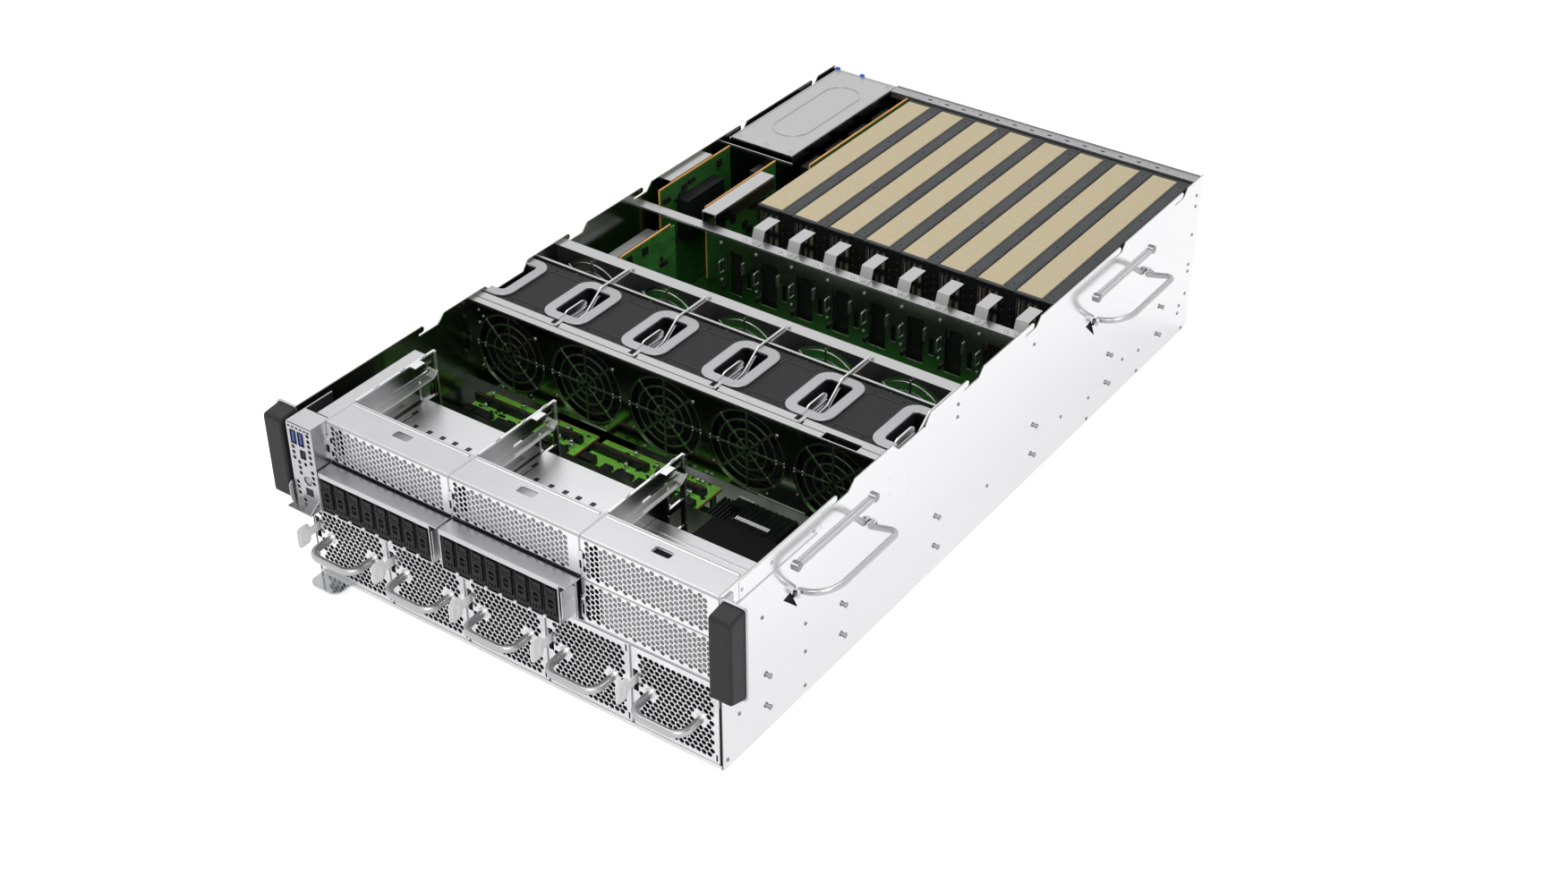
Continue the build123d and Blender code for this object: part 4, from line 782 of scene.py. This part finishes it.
MODULE_FRONT = CAGE_FRONT
USB_X = (-205.0, -196.5)
BUTTON = (-195, 117)
VENTS = [(-188, z) for z in (117, 122.5, 128, 137.5, 143.5, 149, 154.5, 159.5, 165)]
VENTS += [(-207, z) for z in (101, 137, 142.5, 148)] + [(-202, z) for z in (95, 123, 128.5, 134)]
VENTS += [(-195, 134), (-207.5, 112), (-207.5, 107)]
windows = [rounded((x - 2.9, x + 2.9), (152.0, 165.0), 0.5) for x in USB_X]
windows += [rounded((-198.8, -193.6), (139.4, 147.2), 0.8), rounded((-199.3, -190.7), (101.7, 109.3), 1.0)]
TOP_SLOTS = (-209, -204.5, -200, -195.5, -191, -187)
windows += [rounded((x - 1.5, x + 1.5), (167.7, 169.4), 0.6) for x in TOP_SLOTS]
windows += [circle(x, z, 1.9, 14) for x, z in VENTS] + [circle(*BUTTON, 4.6, 24)]
panel = Shape()
outline = rounded((-211.8, -183.0), (88.8, 171.6), 0.8)
panel.plate("y", outline, windows, MODULE_FRONT - 0.9, MODULE_FRONT - 0.4, 0.1)
fixed("module_panel", panel, sheet_steel)
# Black sheet behind the panel: painted shade seen through its holes
shade = Shape()
shade.plate("y", rectangle((-211.4, -183.4), (89.2, 171.2)), [circle(*BUTTON, 4.2, 24)],
            MODULE_FRONT - 0.4, MODULE_FRONT - 0.05)
fixed("module_shade", shade, painted_shade_black)
RIM = (MODULE_FRONT - 1.2, MODULE_FRONT - 0.8, 0.1)
tongues, sockets, rims = shapes(3)
for x in USB_X:
    tongues.box((x - 1.6, x + 1.0), (MODULE_FRONT - 0.8, MODULE_FRONT - 0.4), (153.2, 163.8))
    hole = rounded((x - 2.7, x + 2.7), (152.2, 164.8), 0.4)
    rims.plate("y", rounded((x - 3.4, x + 3.4), (151.5, 165.5), 0.7), [hole], *RIM)
sockets.prism("y", rounded((-197.6, -194.8), (140.6, 146.0), 0.4), MODULE_FRONT - 0.8, MODULE_FRONT - 0.4)
sockets.prism("y", rounded((-198.9, -191.1), (102.1, 108.9), 0.8), MODULE_FRONT - 1.2, MODULE_FRONT - 0.4)
hole = rounded((-198.6, -193.8), (139.6, 147.0), 0.7)
rims.plate("y", rounded((-199.4, -193.0), (138.8, 147.8), 1.0), [hole], *RIM)
fixed("usb_tongues", tongues, usb_blue)
fixed("module_sockets", sockets, black_plastic)
fixed("module_rims", rims, black_plastic)


# Dividers: bright folded edges, a top rail with clips and an upturned rear end

dividers = Shape()
for x in (-184.8, -49.9, 84.1):
    dividers.box((x - 1.2, x + 1.2), span(36, 131.6), (170.6, 172.4))
    dividers.box((x + 0.6, x + 6.5), span(36, 122), (149.6, 150.6))
    turned_up = side_view((122, 149.6), (127, 154.5), (127, 156.0), (121, 150.6))
    dividers.prism("x", turned_up, x + 0.6, x + 6.5)
    dividers.box((x + 0.6, x + 7.5), span(100, 112), (170.9, 172.1))
    dividers.box((x - 1.2, x + 2.2), span(130.4, 131.8), (88, 172))
    for low, high in ((101, 123), (128, 152)):
        dividers.box((x - 0.9, x + 1.4), span(108.6, 110), (low, high))
        dividers.box((x - 0.9, x + 1.4), span(110, 129), (low, low + 1.2))
    for depth in (60, 92, 118):
        staple = course(x, (depth - 3, 171.5), (depth - 3, 173.3), (depth + 3, 173.3), (depth + 3, 171.5))
        dividers.tube(soften(staple, (1, 1), 3), 0.6, 2)
fixed("divider_edges", dividers, psu_steel, bevel=0.15)


# Fan cage: wall screws, rail clips, partition straps and rear rings

FAN_PITCH = 86.9
FAN_Z = 128.0
FAN_TOP = 169
FAN_WALL = aft(214)
fan_x = [(number - 2) * FAN_PITCH for number in range(5)]
partitions = [(number - 1.5) * FAN_PITCH for number in range(4)]
fixings = Shape()
for x in fan_x:
    for angle, radius in ((42, 1.9), (215, 1.0), (300, 1.0)):
        turn = radians(angle)
        fixings.screw("y", x + 42.2 * cos(turn), FAN_Z + 41.4 * sin(turn), FAN_WALL, radius, -0.9)
for x, z in ((-208, 163), (-203, 158), (-208, 150), (-206, 112), (partitions[0], 92)):
    fixings.screw("y", x, z, FAN_WALL, 1.4, -0.8)
fixed("fan_wall_screws", fixings, stud_steel)

rails, notches = shapes(2)
for near, far in ((-95, -66), (99, 147)):
    rails.box((near, far), span(213.2, 214), (87.0, 87.8))
for x in partitions:
    rails.box((x + 2.6, x + 5.8), span(223, 232.4), (171.0, 171.8))
    # Black notches in the rails: painted shade
    notches.box((x - 2.6, x + 2.6), span(225, 231), (170.6, 171.2))
    notches.box((x + 5.8, x + 7.4), span(222, 226), (170.6, 171.2))
    strap = side_view((290, 167.4), (290, 166.2), (272, 154.4), (243, 154.4), (243, 155.8), (271.6, 155.8),
                      (288, 167.4))
    rails.prism("x", strap, x - 0.7, x + 0.7)
    rails.box((x - 1.0, x + 1.0), span(311, 334), (169.6, 170.9))
    rails.box((x + 0.8, x + 2.6), span(335.5, 338.5), (171.0, 173.4))
# Black line along the rail: painted shade in the seam
notches.box((-216, 216), span(221.2, 221.9), (170.9, 171.1))
fixed("fan_rail_trim", rails, sheet_steel, bevel=0.15)
fixed("fan_rail_notches", notches, painted_shade_black)

guards = Shape()
for x in fan_x:
    for radius in (36, 27, 18, 9):
        ring = [(a, aft(333), b) for a, b in circle(x, FAN_Z, radius, 40)]
        guards.tube(ring, 0.9, 2, closed=True)
    for turn in range(4):
        angle = turn * pi / 4
        guards.tube([(x - 40 * cos(angle), aft(332), FAN_Z - 40 * sin(angle)),
                     (x + 40 * cos(angle), aft(332), FAN_Z + 40 * sin(angle))], 0.9, 2)
fixed("rear_wire_guards", guards, rear_guard_steel)

# Guards across the openings of the front wall: flat rings and eight spokes, riveted where they cross
wires, rivets = shapes(2)
for x in fan_x:
    for radius in (39.2, 30.0, 20.5, 11.5):
        hole = circle(x, FAN_Z, radius - 1.8, 48)
        wires.plate("y", circle(x, FAN_Z, radius, 48), [hole], aft(215.0), aft(215.6))
    for turn in range(4):
        along = Vector((cos(turn * pi / 4), sin(turn * pi / 4))) * 39.4
        across = Vector((-along.y, along.x)) * 1.1 / 39.4
        middle = Vector((x, FAN_Z))
        ends = ((1, 1), (-1, 1), (-1, -1), (1, -1))
        wires.prism("y", [tuple(middle + s * along + t * across) for s, t in ends], aft(214.4), aft(215.0))
    for reach in (-38.4, -30.2, 30.2, 38.4):
        for lift in (-1.7, 1.7):
            rivets.lathe("y", x + reach, FAN_Z + lift, aft(214.4), [(0, -0.6), (0.6, -0.5), (0.9, 0)], 8)
fixed("front_wire_guards", wires, guard_steel)
fixed("guard_rivets", rivets, psu_steel)

# Fan modules: loop halves, latch with its wire, recess in painted shade, groove and screws of the top
LOOP_MID = aft(267)
LOOP_A = 23.7
LOOP_B = 34.45
LOOP_BAND = 10.4
RECESS_Z = (151.4, 168.7)


def half_loop(way):
    """Half of the rounded ring beside one edge of a module, seen from above."""
    edge = way * (FAN_PITCH / 2 - 0.12)
    outer = rounded((-LOOP_A, LOOP_A), (-LOOP_B, LOOP_B), 14.2, 8)
    low, high = LOOP_BAND - LOOP_B, LOOP_B - LOOP_BAND
    inner = rounded((LOOP_BAND - LOOP_A, LOOP_A - LOOP_BAND), (low, high), 4.2, 5)
    outer = sorted([(a, b) for a, b in outer if a <= 0], key=lambda p: p[1])
    inner = sorted([(a, b) for a, b in inner if a <= 0], key=lambda p: -p[1])
    # The straight side has few points, so the order along the arc is by height
    loop = [(0, -LOOP_B)] + outer + [(0, LOOP_B), (0, high)] + inner + [(0, low)]
    return [(edge + way * a, LOOP_MID + b) for a, b in loop]


half = Shape()
for way in (1, -1):
    half.plate("z", half_loop(way), [], 168.8, 171.5, 0.5)
loop_mesh = half.mesh("fan_loops")

latch = Shape()
x = FAN_PITCH / 2 - 5
latch.plate("x", rounded(span(244, 278), (151.4, 169.8), 8.0, 6), [], x - 0.8, x + 0.8, 0.3)
for level in (156.5, 160.5):
    latch.box((x + 0.7, x + 1.3), span(249, 276), (level, level + 1.2))
latch.box((x - 0.9, x + 4.2), span(246, 276), (151.4, 152.6))
latch.prism("y", [(x + 0.9, 152.6), (x + 0.9, 157.0), (x + 3.0, 152.6)], aft(250), aft(270))
# Bright wire from the rear rail over the rim and down into the recess
x = FAN_PITCH / 2 - 1.5
wire = course(x, (336, 172.7), (294, 172.7), (272, 157.5), (246, 156.2))
latch.tube(soften(wire, (5, 6), 5), 1.05, 3)
latch_mesh = latch.mesh("fan_latch")

# Black floor, ends and inner walls of the recess: painted shade
recess = Shape()
for way in (1, -1):
    across = beyond(way, FAN_PITCH / 2 - 14.2, FAN_PITCH / 2 - 0.9)
    recess.box(across, span(243, 291), (RECESS_Z[0] - 0.35, RECESS_Z[0]))
    for depth in (242.85, 290.85):
        recess.box(across, span(depth, depth + 0.3), RECESS_Z)
    inside = way * (FAN_PITCH / 2 - 13.8)
    recess.box((inside - 0.2, inside + 0.2), span(243.2, 290.8), RECESS_Z)
recess_mesh = recess.mesh("fan_recess")

trim = Shape()
trim.plate("z", rounded((-18, 18), span(240, 296), 2), [rounded((-16.8, 16.8), span(241.2, 294.8), 1.6)],
           FAN_TOP - 0.1, FAN_TOP + 0.35, 0.1)
for a in (-14.2, 14.2):
    for b in (237, 299):
        trim.screw("z", a, aft(b), FAN_TOP, 1.5, 0.5)
trim_mesh = trim.mesh("fan_trim")
for number, x in enumerate(fan_x, 1):
    body = f"fan_{number}"
    put(f"fan_loops_{number}", loop_mesh, body, loop_steel, "shroud_grey", at=(x, 0, 0))
    put(f"fan_latch_{number}", latch_mesh, body, psu_steel, at=(x, 0, 0))
    put(f"fan_trim_{number}", trim_mesh, body, black_plastic, at=(x, 0, 0))
    put(f"fan_recess_{number}", recess_mesh, body, painted_shade_black, at=(x, 0, 0))


# Circuit boards: connectors, parts and tan edges

random.seed(4)
GREEN_BOARDS = ((-202, -74), (-66, 61))
BOARD_TOP = 78.5
faces, chips, caps, pins, rim = shapes(5)
for left, right in GREEN_BOARDS:
    faces.box((left, right), span(171, 213), (BOARD_TOP - 0.5, BOARD_TOP))
    rim.box((right, right + 0.6), span(171, 213), (76.4, 78.6))
    rim.box((left, right), span(213, 213.5), (76.4, 78.6))
    x = left + 3
    while x < right - 14:
        width = random.choice((9, 13, 18))
        chips.box((x, x + width), span(172, 181), (BOARD_TOP, BOARD_TOP + random.choice((4, 6, 8))))
        x += width + random.choice((3, 5, 9))
    for _ in range(26):
        a = random.uniform(left + 3, right - 6)
        b = random.uniform(184, 192) if random.random() < 0.6 else random.uniform(201, 211)
        across = (a, a + random.uniform(1.5, 5))
        chips.box(across, span(b, b + random.uniform(1.2, 2.6)), (BOARD_TOP, BOARD_TOP + 1.2))
    for _ in range(9):
        a = random.uniform(left + 4, right - 4)
        b = random.choice((186, 190, 204, 208))
        caps.lathe("z", a, aft(b), BOARD_TOP, [(0, 5.2), (1.6, 5.2), (2.0, 4.8), (2.0, 0)], 12)
for left, right in ((-205, -130), (-116, -80), (-66, -6), (4, 56)):
    chips.box((left + 0.6, right - 0.6), span(193.6, 198.4), (84.8, 86.2))
    pins.comb(int((right - left) / 2.6), (left + 1.6, left + 2.6), 2.6, span(195.2, 196.8), (86.0, 86.9))
fixed("board_faces", faces, bright_green)
fixed("board_rims", rim, brown_edge)
fixed("board_chips", chips, black_plastic, bevel=0.15)
fixed("board_capacitors", caps, bright_rod)
fixed("connector_pins", pins, gold)

# Fins with bright tips to the right of the boards, and a thin wire beside them
cooler, tips = shapes(2)
cooler.comb(26, (97, 97.7), 1.9, span(173, 207), (60, 82.6))
tips.comb(15, (98.9, 100.1), 2.3, span(180, 184), (82.6, 83.6))
tips.comb(8, (83.5, 84.3), 2.1, span(207, 208.6), (82.0, 82.8))
cooler.comb(8, (83.3, 84.5), 2.1, span(196, 208.6), (62, 82.0))
cooler.box((83, 100.5), span(196, 208.8), (56, 62))
wire = [(97.0, aft(181), 82.0), (95.0, aft(174), 80.0), (98.0, aft(171), 76.0), (104.0, aft(170.5), 72.0)]
tips.tube(soften(wire, (3, 3), 4), 0.5, 2)
fixed("cooler_fins", cooler, black_plastic)
fixed("cooler_tips", tips, latch_white, "fin_aluminium")
patch, ribs = shapes(2)
patch.box((150, 212), span(172, 212), (56.2, 57.6))
fixed("right_board", patch, board_green)
ribs.comb(7, (66.5, 68.5), 4.0, span(172, 210), (56, 74))
fixed("right_ribs", ribs, black_plastic)

# Tall boards: tan edges and parts on both sides
edges, parts = shapes(2)
TALL_BOARDS = ((-153, 349, 424, 60, 171.4, (1,)), (-205, 474, 590, 90, 169, (1,)),
               (-148.6, 474, 590, 90, 169, (-1, 1)), (-114.4, 601, 782, 60, 170, (-1,)))
for x, start, end, low, high, sides in TALL_BOARDS:
    edges.box((x - 0.85, x + 0.85), span(start, end), (high - 0.4, high + 0.5))
    edges.box((x - 0.85, x + 0.85), (aft(start) - 0.5, aft(start) + 0.3), (low, high + 0.5))
    for side in sides:
        face = x + side * 0.8
        for _ in range(int((end - start) / 3.2)):
            a = random.uniform(start + 3, end - 12)
            b = random.uniform(low + 4, high - 10)
            w, h, t = random.choice(((2, 1.4, 0.9), (3, 5, 1.2), (8, 8, 1.4), (4, 2, 1.8), (10, 4, 2.4)))
            parts.box(sorted((face, face + side * t)), span(a, a + w), (b, b + h))
fixed("tall_board_edges", edges, tan_edge)
crown = Shape()
crown.box((-153.8, -152.2), span(349, 424), (168, 171.0))
crown.box((-153.8, -152.2), span(349, 360), (60, 168))
fixed("tall_board_crown", crown, board_green)
fixed("tall_board_parts", parts, black_plastic)


# Middle chamber: floor strips, duct, hooks and dark pads on the beam

floor_bars = Shape()
for k in range(6):
    floor_bars.box((-208, -160), span(352 + k * 15, 356 + k * 15), (87.2, 88.4))
floor_bars.box((-216.8, -156), span(348, 449), (86, 87.2))
floor_bars.box((-202, -168), span(372, 449.6), (138, 139.6))
floor_bars.box((-202, -168), span(372, 373.2), (87.2, 138))
floor_bars.box((-190, -188.6), span(374, 449.6), (139.6, 142))
fixed("chamber_floor", floor_bars, loop_steel, bevel=0.2)
CARD_X = [-110.9 + 40.64 * card for card in range(8)]
hooks, pads = shapes(2)
y = aft(450.5)
for x in CARD_X:
    left = x + 3.9
    grip = course(left - 6, (450.2, 120), (446.5, 120), (446.5, 133), (450.2, 133))
    hooks.tube(soften(grip, (1.5, 1.5), 4), 0.8, 2)
    hooks.screw("y", left - 6, 152.5, y, 1.6, -1.0)
    hooks.screw("y", left - 6, 112, y, 1.4, -0.9)
    hooks.box((left + 18.4, left + 19.8), (y - 2.4, y), (126, 138))
    pads.box((left - 4.5, left - 1.5), (y - 4, y), (102.5, 107))
    pads.box((left + 0.5, left + 17.5), (y + 6, y + 14), (99, 144))
fixed("beam_hooks", hooks, loop_steel, "psu_steel", bevel=0.1)
fixed("beam_pads", pads, black_plastic)

beam_trim = Shape()
for x in CARD_X:
    beam_trim.screw("z", x + 21.4, aft(457), 160, 2.0, 1.0)
beam_trim.prism("x", side_view((450.4, 160), (450.4, 161.2), (451.6, 161.2), (452.2, 160)), -217, 217)
fixed("beam_trim", beam_trim, sheet_steel, "psu_steel")


# Accelerator cards: finned tops, black end frames with gold contacts, stripe screws

FIN_PITCH = 2.2
CARD_TOP = 169
fins = Shape()
fins.box((0.3, 26.1), span(511, 780), (64, 168.6))
count = int(268 / FIN_PITCH)
for k in range(count):
    y = aft(511.4 + k * FIN_PITCH)
    fins.box((0.6, 25.8), (y, y + FIN_PITCH * 0.82), (168.6, CARD_TOP))
fin_mesh = fins.mesh("fins")
for card, x in enumerate(CARD_X, 1):
    replaced = ["gpu_fin_stacks"] if card == 1 else []
    fixed(f"gpu_fins_{card}", fin_mesh, fin_aluminium, at=(x, 0, 0), replaces=replaced)

ends = Shape()
holes = [rounded((2 + 6 * i, 6.6 + 6 * i), (72 + 24 * j, 92 + 24 * j), 0.8)
         for i in range(4) for j in range(4)]
ends.plate("y", rectangle((0.2, 26.2), (60, 168.8)), holes, aft(506.6), aft(508), 0.2)
ends.box((26.6, 39.6), span(507.4, 508), (60, 168.4))
end_mesh = ends.mesh("gpu_end")
contacts = Shape()
for k in range(9):
    contacts.box((28.4, 29.4), span(507.1, 507.6), (88 + 8 * k, 90.5 + 8 * k))
    contacts.box((36.8, 37.8), span(507.1, 507.6), (92 + 8 * k, 93.5 + 8 * k))
contact_mesh = contacts.mesh("gpu_contacts")
stripe = Shape()
for depth in (520, 600, 690, 772):
    stripe.screw("z", 33.1, aft(depth), CARD_TOP, 1.5, 0.35)
stripe.plate("z", rounded((27.4, 38.8), span(512, 779), 1), [rounded((28.2, 38.0), span(512.8, 778.2), 0.8)],
             CARD_TOP, CARD_TOP + 0.25, 0.05)
stripe_mesh = stripe.mesh("gpu_stripe")
for card, x in enumerate(CARD_X, 1):
    fixed(f"gpu_end_{card}", end_mesh, black_plastic, at=(x, 0, 0))
    fixed(f"gpu_contacts_{card}", contact_mesh, gold, at=(x, 0, 0))
    fixed(f"gpu_stripe_{card}", stripe_mesh, shroud_grey, at=(x, 0, 0))


# Network cage and rear beam

LID = 171
nic = Shape()
for x, y in ((-207, 612), (-145, 612), (-207, 790), (-145, 790), (-174.5, 612)):
    nic.screw("z", x, aft(y), LID, 2.0, 0.9)
nic.plate("z", rounded((-213.6, -138.4), span(604.4, 796.6), 2),
          [rounded((-212.2, -139.8), span(606, 795), 2)], LID, LID + 0.4, 0.1)
nic.lathe("x", aft(800) - 3, 160, 214.2, [(0, 0.3), (1, 0)], 8)
fixed("nic_trim", nic, nic_steel)
touch = Shape()
for x in (-213.0, -182.0):
    touch.box((x - 2, x + 3), span(797, 799.8), (169.0, 173.4))
fixed("release_tabs", touch, touch_blue, bevel=0.4)
beam = Shape()
for k in range(14):
    beam.screw("z", -82 + 20.3 * k, aft(794), LID, 0.9, 0.3)
beam.box((-137.6, 215), span(799.2, 800), (168, 172.0))
fixed("rear_beam_trim", beam, loop_steel)


# Rear view: card brackets with vents and sockets, network ports, inlet linings; the sockets and linings are
# black boxes as painted shade

brackets, ports = shapes(2)
for x in CARD_X:
    left = x + 2.4
    slots = [rounded((left + 3, left + 14), (70 + 7 * j, 74.2 + 7 * j), 1) for j in range(12)]
    brackets.plate("y", rectangle((left, left + 35), (66.5, 157.5)),
                   slots + [rounded((left + 20, left + 30), (80 + 20 * j, 94 + 20 * j), 1) for j in range(3)],
                   aft(798.4), aft(799.4), 0.1)
    for j in range(3):
        # Black boxes behind the socket openings: painted shade
        ports.box((left + 19.8, left + 30.2), span(793, 797.6), (79.8 + 20 * j, 94.2 + 20 * j))
network = [rounded((-209 + 17 * i, -195 + 17 * i), (104 + 22 * j, 118 + 22 * j), 1)
           for i in range(4) for j in range(2)]
brackets.plate("y", rectangle((-210.8, -141.2), (96.2, 165.8)), network, aft(798.2), aft(799.2), 0.1)
# Black lining behind the network ports: painted shade
ports.box((-210, -142), span(797.3, 798.1), (97, 165))
fixed("rear_brackets", brackets, psu_steel)
fixed("rear_ports", ports, painted_shade_black)


# Side walls: flush screws, rivets, keeper sleeves and knobs, front bracket with its fold

WALL_SCREWS = ((52, 119), (21, 44), (111, 73), (111, 44), (111, 8), (5, 8), (397, 37), (467, 150),
               (532, 36), (587, 27), (655, 35), (690, 27), (690, 3.2), (587, 3.2), (775, 27), (788, 156),
               (788, 144), (788, 112), (788, 78), (788, 70), (788, 44), (777, 35), (788, 3.2), (337, 158),
               (337, 145), (26, 164), (64.5, 165), (121, 159), (15, 158))
RIVETS = [(depth, level) for depth in (231, 260) for level in (144, 129, 115)]
HANDLES = (98.0, 585.0)
RIVET = ((0, 0.35), (1.2, 0.3), (1.8, 0))
KNOB = ((0, 1.4), (2.3, 1.4), (2.7, 1.0), (4.2, 0.5), (4.2, -2.6))
PRESSED = ((0, 0.15), (1.6, 0.15), (2.2, 0.5), (3.8, 0.5), (4.6, 0))
side_screws, rivets, sleeves, knobs, backs, bracket, folds = shapes(7)
for side in (-1, 1):
    # Black plates inside the triangular openings under the handles: painted shade
    for start in HANDLES:
        opening = side_view((start - 19, 116), (start - 8, 120.4), (start + 3.4, 96.4))
        backs.prism("x", opening, *beyond(side, 216.3, 216.9))
    for depth, level in WALL_SCREWS:
        side_screws.screw("x", aft(depth), level, side * SIDE, 1.9, side * 0.6)
    for depth, level in RIVETS:
        rivets.lathe("x", aft(depth), level, side * SIDE, RIVET, 14, side)
    for start in HANDLES:
        sleeves.box(beyond(side, SIDE, SIDE + 3.4), span(start + 3.6, start + 106), (138.4, 141.2))
        for end in (start, start + 109.5):
            knobs.lathe("x", aft(end), 139.8, side * (SIDE + 2.6), KNOB, 20, side)
    # Front bracket: a thin plate over the seam, with a grey fold below it
    outline = rounded(span(23, 130.4), (155.6, 173.2), 1.5)
    bracket.plate("x", outline, [], *beyond(side, SIDE, SIDE + 0.4), 0.1)
    folds.box(beyond(side, SIDE, SIDE + 0.5), span(3, 126), (153.6, 155.4))
    # Round marks pressed into the wall
    for depth in (172, 667):
        rivets.lathe("x", aft(depth), 76.5, side * SIDE, PRESSED, 20, side)
fixed("opening_backs", backs, painted_shade_black)
fixed("wall_screws", side_screws, stud_steel)
fixed("wall_rivets", rivets, wall_steel)
fixed("keeper_sleeves", sleeves, keeper_grey)
fixed("front_brackets", bracket, wall_steel)
fixed("bracket_folds", folds, keeper_grey)
fixed("keeper_knobs", knobs, stud_steel)
